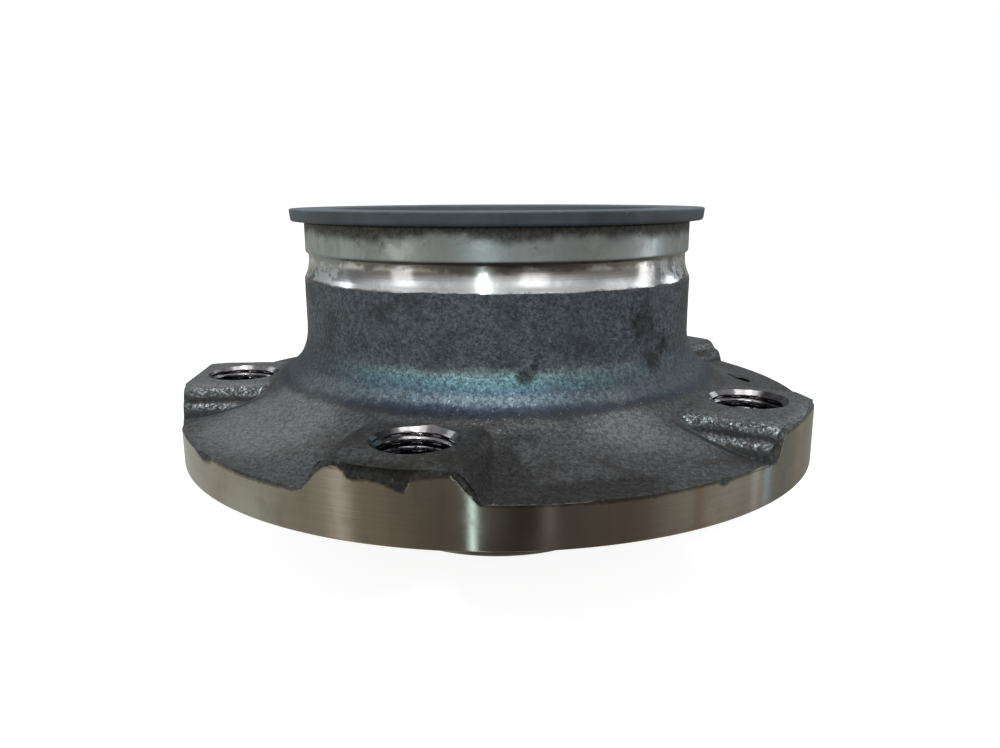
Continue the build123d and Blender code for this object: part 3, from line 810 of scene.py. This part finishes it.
    # stains, with a painted shadow beside the front pad folded in, and painted shade in the creases and on the steep
    # pad wall
    st = n.step(n.math("ADD", stain_and_shadow, n.math("MULTIPLY", ragged, 0.8)), 0.22, 0.72)
    c = n.mix(n.math("MULTIPLY", st, 0.80), c, n.mix(n.step(grain, 0.4, 0.6), (0.006, 0.0050, 0.0045), (0.020, 0.0175, 0.0155)))
    cr = n.step(n.math("ADD", n.math("MAXIMUM", crease_shade, n.math("MULTIPLY", wall_shade, 0.75)), n.math("MULTIPLY", ragged, 0.4)), 0.20, 0.9)
    c = n.mix(n.math("MULTIPLY", cr, 0.85), c, (0.012, 0.012, 0.013))
    h = n.math("ADD", n.math("MULTIPLY", grain, 0.9), n.math("ADD", n.math("MULTIPLY", tone, 0.22), n.math("MULTIPLY", mid, 0.55)))
    nrm = n.bump(h, 1.0, 0.00021)
    rough = n.mixf(n.math("MAXIMUM", spark, rub_and_highlight), n.step(grain, 0.35, 0.65, 0.60, 0.42), 0.30)
    rough = n.mixf(n.math("MULTIPLY", wt, 0.6), rough, 0.40)
    metal = n.mixf(n.math("MAXIMUM", spark, rub_and_highlight), n.mixf(wt, 0.5, 0.6), 0.95)
    metal = n.mixf(n.math("MAXIMUM", cr, st), metal, 0.15)
    rough = n.mixf(n.math("MULTIPLY", st, 0.8), rough, 0.85)
    return n.principled(**{"Base_Color": c, "Metallic": metal, "Roughness": rough, "Specular_IOR_Level": 0.28, "Normal": nrm})


def turned_shader(n):
    """Lathe-turned steel with a thin brown film and fine level lines."""
    lines = n.noise(1.0, 2.0, 0.6, vec=n.mapping((0.015, 0.015, 7.5)))
    lines2 = n.noise(1.0, 3.0, 0.6, vec=n.mapping((0.04, 0.04, 2.0)))
    cloud = n.noise(9.0, 4.0, 0.6, distortion=0.5)
    big = n.noise(32.0, 3.0, 0.5)
    drip = n.noise(1.0, 3.0, 0.6, vec=n.mapping((0.35, 0.35, 0.06)))
    spots = n.noise(0.7, 3.0, 0.6)
    c = n.mix(n.step(big, 0.40, 0.62), (0.37, 0.335, 0.295), (0.43, 0.425, 0.385))
    c = n.mix(n.step(cloud, 0.46, 0.74, 0.0, 0.55), c, (0.25, 0.21, 0.175))
    c = n.mix(n.step(drip, 0.52, 0.72, 0.0, 0.30), c, (0.28, 0.25, 0.22))
    c = n.mix(n.step(lines, 0.42, 0.62, 0.0, 0.16), c, (0.56, 0.54, 0.50))
    c = n.mix(n.step(spots, 0.68, 0.80, 0.0, 0.5), c, (0.09, 0.075, 0.06))
    # painted shade just below the forged edge of the rim, damping the highlight its rounded corner catches
    c = n.mix(n.step(n.math("ADD", attr(n, "turned"), n.math("MULTIPLY", n.math("SUBTRACT", spots, 0.5), 0.8)), 0.85, 0.25, 0.0, 0.70), c, (0.075, 0.066, 0.060))
    nrm = n.bump(n.math("ADD", n.math("MULTIPLY", lines, 0.6), n.math("MULTIPLY", lines2, 0.5)), 0.22, 0.00003)
    rough = n.step(cloud, 0.35, 0.70, 0.135, 0.20)
    return n.principled(**{"Base_Color": c, "Metallic": 1.0, "Roughness": rough, "Anisotropic": 0.95, "Anisotropic_Rotation": 0.25,
                           "Tangent": n.tangent(), "Normal": nrm})


def mat_flange():
    n = Nodes("forged_and_turned_steel").xyz()
    forged = forged_shader(n)
    turned = turned_shader(n)
    at = n.t.nodes.new("ShaderNodeAttribute")
    at.attribute_name = "turned"
    rag = n.math("ADD", n.math("MULTIPLY", n.math("SUBTRACT", n.noise(1.6, 4.0, 0.65), 0.5), 1.5),
                 n.math("MULTIPLY", n.math("SUBTRACT", n.noise(6.0, 2.0, 0.5), 0.5), 0.6))
    f = n.step(n.math("ADD", at.outputs["Fac"], rag), -0.10, 0.10)
    ms = n.t.nodes.new("ShaderNodeMixShader")
    n.put(ms.inputs[0], f)
    n.t.links.new(forged.outputs[0], ms.inputs[1])
    n.t.links.new(turned.outputs[0], ms.inputs[2])
    return n.finish(ms)


def mat_polished():
    n = Nodes("polished_groove_steel").xyz()
    lines = n.noise(1.0, 2.0, 0.6, vec=n.mapping((0.02, 0.02, 7.0)))
    cloud = n.noise(6.0, 4.0, 0.6, distortion=0.6)
    small = n.noise(1.6, 4.0, 0.65)
    c = n.mix(n.step(cloud, 0.42, 0.70), (0.80, 0.80, 0.80), (0.64, 0.635, 0.63))
    # painted shade below the edge of the seat, as a band and in ragged patches, and a film where the flare dies out on
    # the forged skin
    edge = n.math("ADD", n.zmm, n.math("MULTIPLY", n.math("SUBTRACT", small, 0.5), 1.3))
    seat_shade = n.step(edge, 39.9, 40.5)
    c = n.mix(n.math("MULTIPLY", seat_shade, 0.40), c, (0.16, 0.155, 0.15))
    patch = n.math("MULTIPLY", n.step(n.math("ADD", edge, n.math("MULTIPLY", n.math("SUBTRACT", cloud, 0.5), 5.0)), 39.3, 40.4), 0.65)
    c = n.mix(patch, c, (0.12, 0.105, 0.10))
    lip = n.math("MULTIPLY", n.step(edge, 36.1, 35.7), 0.7)
    c = n.mix(lip, c, (0.15, 0.155, 0.16))
    # pale dry film in ragged patches round the sides and back
    turn = n.math("ABSOLUTE", n.math("ADD", n.ang, 90.0))
    crust = n.math("MULTIPLY", n.step(turn, 38.0, 60.0), n.step(n.noise(2.4, 5.0, 0.7, distortion=0.4), 0.44, 0.58))
    crust = n.math("MULTIPLY", crust, n.step(n.zmm, 35.9, 36.6))
    c = n.mix(n.math("MULTIPLY", crust, 0.75), c, n.mix(n.step(small, 0.35, 0.65), (0.30, 0.32, 0.335), (0.52, 0.55, 0.565)))
    nrm = n.bump(n.math("ADD", lines, n.math("MULTIPLY", small, n.math("ADD", n.math("MULTIPLY", crust, 1.5), 0.4))), 0.18, 0.00003)
    rough = n.mixf(crust, n.step(cloud, 0.3, 0.7, 0.13, 0.21), 0.50)
    return n.finish(n.principled(**{"Base_Color": c, "Metallic": n.mixf(crust, 1.0, 0.35), "Roughness": rough,
                                    "Anisotropic": 0.8, "Anisotropic_Rotation": 0.25, "Tangent": n.tangent(), "Normal": nrm}))


def mat_seat():
    n = Nodes("ground_seat_steel").xyz()
    lines = n.noise(1.0, 2.0, 0.6, vec=n.mapping((0.03, 0.03, 6.0)))
    cloud = n.noise(6.0, 4.0, 0.62, distortion=0.7)
    fine = n.noise(0.7, 3.0, 0.6)
    streak = n.noise(1.0, 3.0, 0.6, vec=n.mapping((0.55, 0.55, 0.12)))
    c = n.mix(n.step(cloud, 0.38, 0.66), (0.545, 0.595, 0.605), (0.415, 0.455, 0.46))
    c = n.mix(n.step(lines, 0.42, 0.62, 0.0, 0.2), c, (0.52, 0.54, 0.53))
    c = n.mix(n.step(streak, 0.55, 0.75, 0.0, 0.3), c, (0.24, 0.25, 0.235))
    # grime and painted shadow below the encoder ring: an even dark band just below it, then grime patches that fade out
    slow = n.math("MULTIPLY", n.math("SUBTRACT", n.noise(15.0, 3.0, 0.55), 0.5), 5.0)
    edge = n.math("ADD", n.zmm, n.math("ADD", slow, n.math("MULTIPLY", n.math("SUBTRACT", n.noise(2.6, 5.0, 0.7), 0.5), 2.2)))
    g = n.math("MAXIMUM", n.step(edge, 43.7, 45.9), n.math("MULTIPLY", n.step(n.zmm, 45.6, 46.7), 0.9))
    patch = n.math("MULTIPLY", n.step(n.noise(3.0, 5.0, 0.7), 0.52, 0.70), n.step(edge, 42.2, 44.6))
    g = n.math("MAXIMUM", n.math("MULTIPLY", g, 0.95), n.math("MULTIPLY", patch, 0.7))
    c = n.mix(g, c, n.mix(n.step(fine, 0.35, 0.65), (0.042, 0.044, 0.048), (0.115, 0.112, 0.108)))
    # painted shade at the foot of the seat, over the step down to the groove
    low = n.step(n.zmm, 41.5, 41.2)
    c = n.mix(n.math("MULTIPLY", low, 0.35), c, (0.12, 0.12, 0.12))
    rough = n.mixf(g, n.step(cloud, 0.3, 0.7, 0.32, 0.44), 0.60)
    metal = n.mixf(g, 0.9, 0.25)
    nrm = n.bump(n.math("ADD", lines, n.math("MULTIPLY", fine, n.math("MULTIPLY", g, 1.5))), 0.25, 0.00005)
    return n.finish(n.principled(**{"Base_Color": c, "Metallic": metal, "Roughness": rough, "Anisotropic": 0.6,
                                    "Anisotropic_Rotation": 0.25, "Tangent": n.tangent(), "Normal": nrm}))


def mat_face():
    """Machined wheel face and pilots: concentric tool marks."""
    n = Nodes("machined_face_steel").xyz()
    ringv = n.t.nodes.new("ShaderNodeCombineXYZ")
    n.put(ringv.inputs[0], n.rmm)
    n.put(ringv.inputs[1], n.math("MULTIPLY", n.zmm, 1.0))
    n.put(ringv.inputs[2], n.math("MULTIPLY", n.ang, 0.004))
    ns = n.t.nodes.new("ShaderNodeTexNoise")
    n.put(ns.inputs["Vector"], ringv.outputs[0])
    ns.inputs["Scale"].default_value = 4.2
    ns.inputs["Detail"].default_value = 3.0
    lines = ns.outputs["Fac"]
    cloud = n.noise(9.0, 4.0, 0.6, distortion=0.5)
    c = n.mix(n.step(cloud, 0.4, 0.68), (0.42, 0.41, 0.39), (0.27, 0.25, 0.23))
    c = n.mix(n.step(lines, 0.4, 0.62, 0.0, 0.4), c, (0.52, 0.51, 0.49))
    # painted shade: the lower end of the pilot is made dark, as the shade below the flange
    c = n.mix(n.step(n.zmm, -14.5, -16.5, 0.0, 0.85), c, (0.060, 0.048, 0.040))
    nrm = n.bump(lines, 0.35, 0.00005)
    return n.finish(n.principled(**{"Base_Color": c, "Metallic": 1.0, "Roughness": n.step(cloud, 0.3, 0.7, 0.28, 0.42),
                                    "Anisotropic": 0.5, "Anisotropic_Rotation": 0.25, "Tangent": n.tangent(), "Normal": nrm}))


def mat_bore():
    n = Nodes("hardened_bore_steel").xyz()
    cloud = n.noise(5.0, 3.0, 0.55)
    lines = n.noise(1.0, 2.0, 0.6, vec=n.mapping((0.03, 0.03, 7.0)))
    c = n.mix(n.step(cloud, 0.35, 0.7), (0.46, 0.46, 0.45), (0.34, 0.33, 0.32))
    nrm = n.bump(lines, 0.25, 0.00003)
    return n.finish(n.principled(**{"Base_Color": c, "Metallic": 1.0, "Roughness": 0.24, "Normal": nrm}))


def mat_thread():
    n = Nodes("cut_thread_steel").xyz()
    cloud = n.noise(2.0, 3.0, 0.6)
    fine = n.noise(0.35, 3.0, 0.6)
    c = n.mix(n.step(cloud, 0.35, 0.7), (0.20, 0.195, 0.205), (0.10, 0.096, 0.104))
    # painted shade, darker further into the hole
    hole_shade = n.step(n.zmm, 12.8, 8.5)
    c = n.mix(n.math("MULTIPLY", hole_shade, 0.75), c, (0.035, 0.035, 0.04))
    nrm = n.bump(fine, 0.2, 0.00005)
    return n.finish(n.principled(**{"Base_Color": c, "Metallic": 1.0, "Roughness": n.step(cloud, 0.3, 0.7, 0.13, 0.22), "Normal": nrm}))


def mat_cone():
    n = Nodes("countersunk_steel").xyz()
    cloud = n.noise(1.8, 3.0, 0.6)
    lines = n.noise(1.0, 2.0, 0.6, vec=n.mapping((0.25, 0.25, 8.0)))
    c = n.mix(n.step(cloud, 0.35, 0.7), (0.26, 0.243, 0.246), (0.16, 0.150, 0.152))
    nrm = n.bump(n.math("ADD", lines, n.math("MULTIPLY", cloud, 0.5)), 0.25, 0.00004)
    return n.finish(n.principled(**{"Base_Color": c, "Metallic": 1.0, "Roughness": n.step(cloud, 0.3, 0.7, 0.13, 0.20), "Normal": nrm}))


def mat_small_hole():
    n = Nodes("small_hole_shade_steel").xyz()
    cloud = n.noise(1.2, 3.0, 0.6)
    # painted shade: the small hole's thread is made near-black, as the shade inside it
    c = n.mix(n.step(cloud, 0.35, 0.7), (0.050, 0.050, 0.052), (0.022, 0.022, 0.024))
    return n.finish(n.principled(**{"Base_Color": c, "Metallic": 0.9, "Roughness": 0.42, "Normal": n.bump(cloud, 0.2, 0.00005)}))


def mat_encoder():
    n = Nodes("magnetised_rubber").xyz()
    fine = n.noise(0.5, 4.0, 0.6)
    cloud = n.noise(7.0, 4.0, 0.6, distortion=0.5)
    scuff = n.noise(1.0, 3.0, 0.6, vec=n.mapping((0.08, 0.08, 1.6)))
    c = n.mix(n.step(cloud, 0.35, 0.7), (0.053, 0.067, 0.084), (0.084, 0.103, 0.125))
    c = n.mix(n.step(scuff, 0.60, 0.75, 0.0, 0.5), c, (0.085, 0.088, 0.092))
    c = n.mix(n.step(fine, 0.62, 0.75, 0.0, 0.35), c, (0.11, 0.11, 0.11))
    # painted light: the ring is made paler towards its ends, round the sides, where light falls on them
    turn = n.math("ABSOLUTE", n.math("ADD", n.ang, 90.0))
    c = n.mix(n.step(turn, 32.0, 62.0, 0.0, 0.42), c, (0.118, 0.140, 0.160))
    nrm = n.bump(n.math("ADD", fine, n.math("MULTIPLY", cloud, 0.8)), 0.25, 0.0001)
    return n.finish(n.principled(**{"Base_Color": c, "Metallic": 0.0, "Roughness": n.step(cloud, 0.3, 0.7, 0.48, 0.62),
                                    "Specular_IOR_Level": 0.45, "Normal": nrm}))


def mat_steel(name, light, darkc, rough=(0.2, 0.32), mm=4.0, aniso=0.5, line=0.3):
    n = Nodes(name).xyz()
    cloud = n.noise(mm, 4.0, 0.6, distortion=0.4)
    lines = n.noise(1.0, 2.0, 0.6, vec=n.mapping((0.03, 0.03, 6.0)))
    c = n.mix(n.step(cloud, 0.35, 0.7), light, darkc)
    c = n.mix(n.step(lines, 0.45, 0.65, 0.0, line), c, tuple(min(1.0, v * 1.25) for v in light))
    nrm = n.bump(lines, 0.2, 0.00003)
    return n.finish(n.principled(**{"Base_Color": c, "Metallic": 1.0, "Roughness": n.step(cloud, 0.3, 0.7, *rough),
                                    "Anisotropic": aniso, "Anisotropic_Rotation": 0.25, "Tangent": n.tangent(), "Normal": nrm}))


def mat_ball():
    n = Nodes("ball_steel").xyz()
    cloud = n.noise(3.0, 3.0, 0.5)
    c = n.mix(n.step(cloud, 0.35, 0.7), (0.72, 0.72, 0.72), (0.64, 0.64, 0.65))
    return n.finish(n.principled(**{"Base_Color": c, "Metallic": 1.0, "Roughness": n.step(cloud, 0.3, 0.7, 0.05, 0.09)}))


def mat_cage():
    n = Nodes("cage_polyamide").xyz()
    fine = n.noise(0.5, 4.0, 0.6)
    cloud = n.noise(5.0, 3.0, 0.6)
    c = n.mix(n.step(cloud, 0.35, 0.7), (0.52, 0.43, 0.26), (0.42, 0.34, 0.20))
    c = n.mix(n.step(fine, 0.60, 0.75, 0.0, 0.4), c, (0.62, 0.55, 0.38))
    return n.finish(n.principled(**{"Base_Color": c, "Roughness": 0.45, "Normal": n.bump(fine, 0.25, 0.00006)}))


def mat_rubber():
    n = Nodes("seal_rubber").xyz()
    fine = n.noise(0.4, 4.0, 0.6)
    cloud = n.noise(4.0, 3.0, 0.6)
    c = n.mix(n.step(cloud, 0.35, 0.7), (0.018, 0.018, 0.019), (0.034, 0.034, 0.035))
    return n.finish(n.principled(**{"Base_Color": c, "Roughness": n.step(cloud, 0.3, 0.7, 0.42, 0.58), "Normal": n.bump(fine, 0.25, 0.00006)}))


for m in (mat_flange(), mat_polished(), mat_seat(), mat_bore(), mat_face(), mat_thread(), mat_small_hole(), mat_cone()):
    hub.data.materials.append(m)
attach(hub, "hub")
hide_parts("hub_flange")


# ---------------------------------------------------------------------------
# the encoder ring, with a worn top edge
def build_encoder():
    cols = 1440
    theta = np.linspace(-math.pi, math.pi, cols, endpoint=False)
    prof = [(34.9, 48.06), (42.9, 48.06), (42.9, 47.26), (43.15, 47.26), (43.42, 47.6), (43.64, 49.5), (43.42, 49.72), (35.2, 49.72), (34.9, 49.42)]
    prof = soften(prof, 0.14, 3)
    dense = []
    for a, b in zip(prof, prof[1:] + prof[:1]):
        dense.append(a)
        n = int(math.dist(a, b) / 0.45)
        for k in range(1, n):
            dense.append((a[0] + (b[0] - a[0]) * k / n, a[1] + (b[1] - a[1]) * k / n))
    R = np.array([[p[0]] * cols for p in dense])
    Z = np.array([[p[1]] * cols for p in dense])
    TH = np.tile(theta, (len(dense), 1))
    pts = np.stack([R * np.cos(TH), R * np.sin(TH), Z], -1).reshape(-1, 3)
    nick = fbm(pts, 2.2, 3, 51).reshape(R.shape)
    wav = fbm(pts, 9.0, 2, 61).reshape(R.shape)
    top_edge = smoothstep(42.9, 43.5, R) * smoothstep(49.1, 49.6, Z)
    bite = np.clip(nick - 0.30, 0, 1) * 0.9
    R = R - top_edge * bite
    Z = Z - top_edge * bite * 0.5 - 0.02 * np.clip(wav, -1, 1) * (Z > 49.6)
    low_edge = smoothstep(42.95, 43.3, R) * smoothstep(47.9, 47.5, Z)
    R = R - low_edge * 0.10 * np.clip(wav, -1, 1) * (R > 43.0)
    Z = np.maximum(Z, 47.26)
    Z = np.where((R < 42.95), Z, Z)
    return outward(ring_mesh("encoder_ring_moulding", R, Z, theta))


enc = obj("encoder_ring_moulding", build_encoder())
smooth(enc.data, 45)
enc.data.materials.append(mat_encoder())
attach(enc, "hub")
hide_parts("encoder_ring")

# ---------------------------------------------------------------------------
# carried-over CAD nodes
stamped = mat_steel("stamped_steel", (0.50, 0.50, 0.50), (0.38, 0.38, 0.39), (0.30, 0.42), 5.0, 0.2, 0.15)
race = mat_steel("ground_bearing_steel", (0.60, 0.60, 0.59), (0.50, 0.49, 0.48), (0.14, 0.24), 6.0, 0.55, 0.25)
spring = mat_steel("spring_steel", (0.30, 0.31, 0.33), (0.20, 0.21, 0.24), (0.28, 0.38), 3.0, 0.2, 0.2)
ballm, cagem, rubm = mat_ball(), mat_cage(), mat_rubber()
LOOK = {"encoder_carrier": stamped, "inner_ring_inboard": race, "inner_ring_outboard": race, "inner_ring_clip": spring,
        "cage_inboard": cagem, "cage_outboard": cagem, "inboard_seal_case": stamped, "inboard_seal_lips": rubm,
        "inboard_slinger": stamped, "outboard_seal_case": stamped, "outboard_seal_lip": rubm}
for name, o in frame["nodes"].items():
    m = LOOK.get(name) or (ballm if name.startswith("ball_") else None)
    if m is None:
        continue
    if not o.material_slots:
        o.data.materials.append(m)
    for s in o.material_slots:
        s.material = m

# ---------------------------------------------------------------------------
# floor, camera, lights
me = bpy.data.meshes.new("floor")
S = 6.0
me.from_pydata([(-S, -S, PILOT_TIP * MM), (S, -S, PILOT_TIP * MM), (S, S, PILOT_TIP * MM), (-S, S, PILOT_TIP * MM)], [], [(0, 1, 2, 3)])
floor = obj("floor", me)
fm = bpy.data.materials.new("floor_paper")
fm.use_nodes = True
fb = fm.node_tree.nodes["Principled BSDF"]
fb.inputs["Base Color"].default_value = (0.30, 0.30, 0.30, 1)
fb.inputs["Roughness"].default_value = 0.9
fb.inputs["Specular IOR Level"].default_value = 0.1
fb.inputs["Emission Color"].default_value = (1, 1, 1, 1)
fb.inputs["Emission Strength"].default_value = 0.90
me.materials.append(fm)
floor.visible_glossy = False
floor.visible_diffuse = False
floor.visible_shadow = False

scene = bpy.context.scene
cam_data = bpy.data.cameras.new("camera")
cam = bpy.data.objects.new("camera", cam_data)
scene.collection.objects.link(cam)
yaw, pitch, roll = math.radians(0.1753), math.radians(12.564), math.radians(-0.210)
fw = Vector((math.sin(yaw) * math.cos(pitch), math.cos(yaw) * math.cos(pitch), -math.sin(pitch)))
rt = Vector((math.cos(yaw), -math.sin(yaw), 0))
upv = rt.cross(fw)
rt2 = math.cos(roll) * rt + math.sin(roll) * upv
up2 = -math.sin(roll) * rt + math.cos(roll) * upv
cam.matrix_world = Matrix(((rt2.x, up2.x, -fw.x, 0.0), (rt2.y, up2.y, -fw.y, -0.178583), (rt2.z, up2.z, -fw.z, 0.052569), (0, 0, 0, 1)))
cam_data.sensor_width = 36.0
cam_data.lens = 810.147 / 1000 * 36.0
cam_data.clip_start = 0.005
cam_data.clip_end = 50
scene.camera = cam


def area(name, az, el, dist, sx, sy, power, color=(1, 1, 1)):
    """A soft light; az is measured from the camera's side (-Y), positive to the right."""
    ld = bpy.data.lights.new(name, "AREA")
    ld.shape = "RECTANGLE"
    ld.size, ld.size_y = sx, sy
    ld.energy = power
    ld.color = color
    o = bpy.data.objects.new(name, ld)
    scene.collection.objects.link(o)
    a, e = math.radians(az), math.radians(el)
    p = Vector((math.sin(a) * math.cos(e), -math.cos(a) * math.cos(e), math.sin(e))) * dist
    o.visible_camera = False
    o.location = p + Vector((0, 0, 0.02))
    o.rotation_euler = (Vector((0, 0, 0.02)) - o.location).to_track_quat("-Z", "Y").to_euler()
    return o


area("overhead", 15, 78, 1.3, 0.9, 0.7, 5.9, (0.98, 0.99, 1.0))
area("strip", -8, 28, 1.2, 0.014, 1.2, 1.9, (0.88, 1.0, 0.97))
area("strip_high", -8, 70, 1.2, 0.045, 0.7, 3.0, (0.90, 1.0, 0.98))
area("window_left", -55, 8, 1.2, 0.26, 0.9, 0.48, (0.98, 0.97, 0.98))
area("front_strip", 21, 16, 1.1, 0.30, 0.5, 0.30, (1.0, 0.99, 0.97))
area("window_right", 95, 10, 1.2, 0.26, 0.8, 0.8, (1.0, 1.0, 1.0))
area("window_far_right", 124, 22, 1.2, 0.35, 0.5, 1.2, (0.88, 0.94, 1.0))
area("left_soft", -112, 30, 1.3, 0.7, 0.5, 2.0, (0.86, 0.94, 1.0))
area("back_soft", 185, 45, 1.3, 1.2, 0.6, 1.8)

world = bpy.data.worlds.new("world")
scene.world = world
world.use_nodes = True
wt = world.node_tree
wt.nodes.clear()


def wn(kind, **kw):
    node = wt.nodes.new("ShaderNode" + kind)
    for k, v in kw.items():
        setattr(node, k, v)
    return node


wo = wn("OutputWorld")
seen, lit = wn("Background"), wn("Background")
seen.inputs[0].default_value = (1, 1, 1, 1)
wsep = wn("SeparateXYZ")
wt.links.new(wn("TexCoord").outputs["Generated"], wsep.inputs[0])
wang = wn("Math", operation="ARCTAN2")                         # azimuth from -Y, positive to +X, in radians
wneg = wn("Math", operation="MULTIPLY")
wneg.inputs[1].default_value = -1.0
wt.links.new(wsep.outputs[1], wneg.inputs[0])
wt.links.new(wsep.outputs[0], wang.inputs[0])
wt.links.new(wneg.outputs[0], wang.inputs[1])
wturn = wn("MapRange")
wturn.inputs["From Min"].default_value = -math.pi
wturn.inputs["From Max"].default_value = math.pi
wt.links.new(wang.outputs[0], wturn.inputs["Value"])


def wramp(stops):
    node = wn("ValToRGB")
    cr = node.color_ramp
    cr.interpolation = "EASE"
    while len(cr.elements) > 1:
        cr.elements.remove(cr.elements[-1])
    cr.elements[0].position = stops[0][0]
    cr.elements[0].color = (*stops[0][1], 1)
    for p, c in stops[1:]:
        cr.elements.new(p).color = (*c, 1)
    return node


# what lies round the object below eye level, seen only in its reflections
GROUND = [(-180, (0.38, 0.38, 0.33)), (-100, (0.55, 0.56, 0.49)), (-45, (0.30, 0.275, 0.22)), (-18, (0.16, 0.137, 0.108)),
          (8, (0.048, 0.038, 0.033)), (45, (0.15, 0.123, 0.10)), (80, (0.45, 0.435, 0.385)), (112, (0.22, 0.215, 0.185)), (180, (0.34, 0.34, 0.29))]


def ground(az):
    return tuple(float(np.interp(az, [g[0] for g in GROUND], [g[1][i] for g in GROUND])) for i in range(3))


# bright upright strips in it: middle, half-width, softness, colour
stops = dict(GROUND)
for az, half, soft, colour in [(-54, 0, 7.0, (0.80, 0.74, 0.66)), (-8.6, 0.35, 0.40, (2.6, 3.45, 3.4)), (17, 0, 4.0, (0.22, 0.19, 0.175)),
                               (71, 0, 2.6, (0.22, 0.10, 0.07)), (97.3, 0.8, 1.0, (0.72, 0.71, 0.68)), (104.3, 0, 1.9, (0.60, 0.82, 1.08)),
                               (129, 0, 2.6, (0.40, 0.31, 0.24))]:
    for p in (az - half - soft, az + half + soft):
        stops[p] = ground(p)
    for p in {az - half, az + half}:
        stops[p] = colour
assert len(stops) <= 32
around = wramp([((az + 180) / 360, stops[az]) for az in sorted(stops)])
wt.links.new(wturn.outputs["Result"], around.inputs[0])
# overhead: bright towards the ceiling, and a lit wall in front between knee and eye height
above = wramp([(0.0, (0.11, 0.11, 0.11)), (0.22, (0.13, 0.132, 0.135)), (0.5, (0.34, 0.35, 0.365)), (0.8, (0.62, 0.64, 0.67)), (1.0, (0.78, 0.80, 0.84))])
wt.links.new(wsep.outputs[2], above.inputs[0])
before = wramp([(0.0, (0.085, 0.07, 0.062)), (0.14, (0.13, 0.115, 0.105)), (0.26, (0.50, 0.495, 0.49)), (0.36, (1.15, 1.17, 1.19)), (0.50, (1.0, 1.02, 1.04)), (0.64, (0.40, 0.41, 0.42)),
                (0.8, (0.62, 0.64, 0.67)), (1.0, (0.78, 0.80, 0.84))])
wt.links.new(wsep.outputs[2], before.inputs[0])
facing = wramp([(0.0, (0, 0, 0)), (0.22, (0, 0, 0)), (0.34, (0.8, 0.8, 0.8)), (0.42, (0.45, 0.45, 0.45)), (0.48, (0.95, 0.95, 0.95)), (0.60, (0.9, 0.9, 0.9)),
                (0.66, (0.4, 0.4, 0.4)), (0.72, (0.7, 0.7, 0.7)), (0.80, (0, 0, 0)), (1.0, (0, 0, 0))])
wt.links.new(wturn.outputs["Result"], facing.inputs[0])
sky = wn("Mix", data_type="RGBA")
wt.links.new(facing.outputs[0], sky.inputs[0])
wt.links.new(above.outputs[0], sky.inputs[6])
wt.links.new(before.outputs[0], sky.inputs[7])
wside = wn("MapRange", interpolation_type="SMOOTHSTEP")
wside.inputs["From Min"].default_value = -0.10
wside.inputs["From Max"].default_value = 0.06
wt.links.new(wsep.outputs[2], wside.inputs["Value"])
whole = wn("Mix", data_type="RGBA")
wt.links.new(wside.outputs["Result"], whole.inputs[0])
wt.links.new(around.outputs[0], whole.inputs[6])
wt.links.new(sky.outputs[2], whole.inputs[7])
wt.links.new(whole.outputs[2], lit.inputs[0])
path, wmix = wn("LightPath"), wn("MixShader")
wt.links.new(path.outputs["Is Camera Ray"], wmix.inputs[0])
wt.links.new(lit.outputs[0], wmix.inputs[1])
wt.links.new(seen.outputs[0], wmix.inputs[2])
wt.links.new(wmix.outputs[0], wo.inputs[0])
scene.view_settings.view_transform = "Standard"
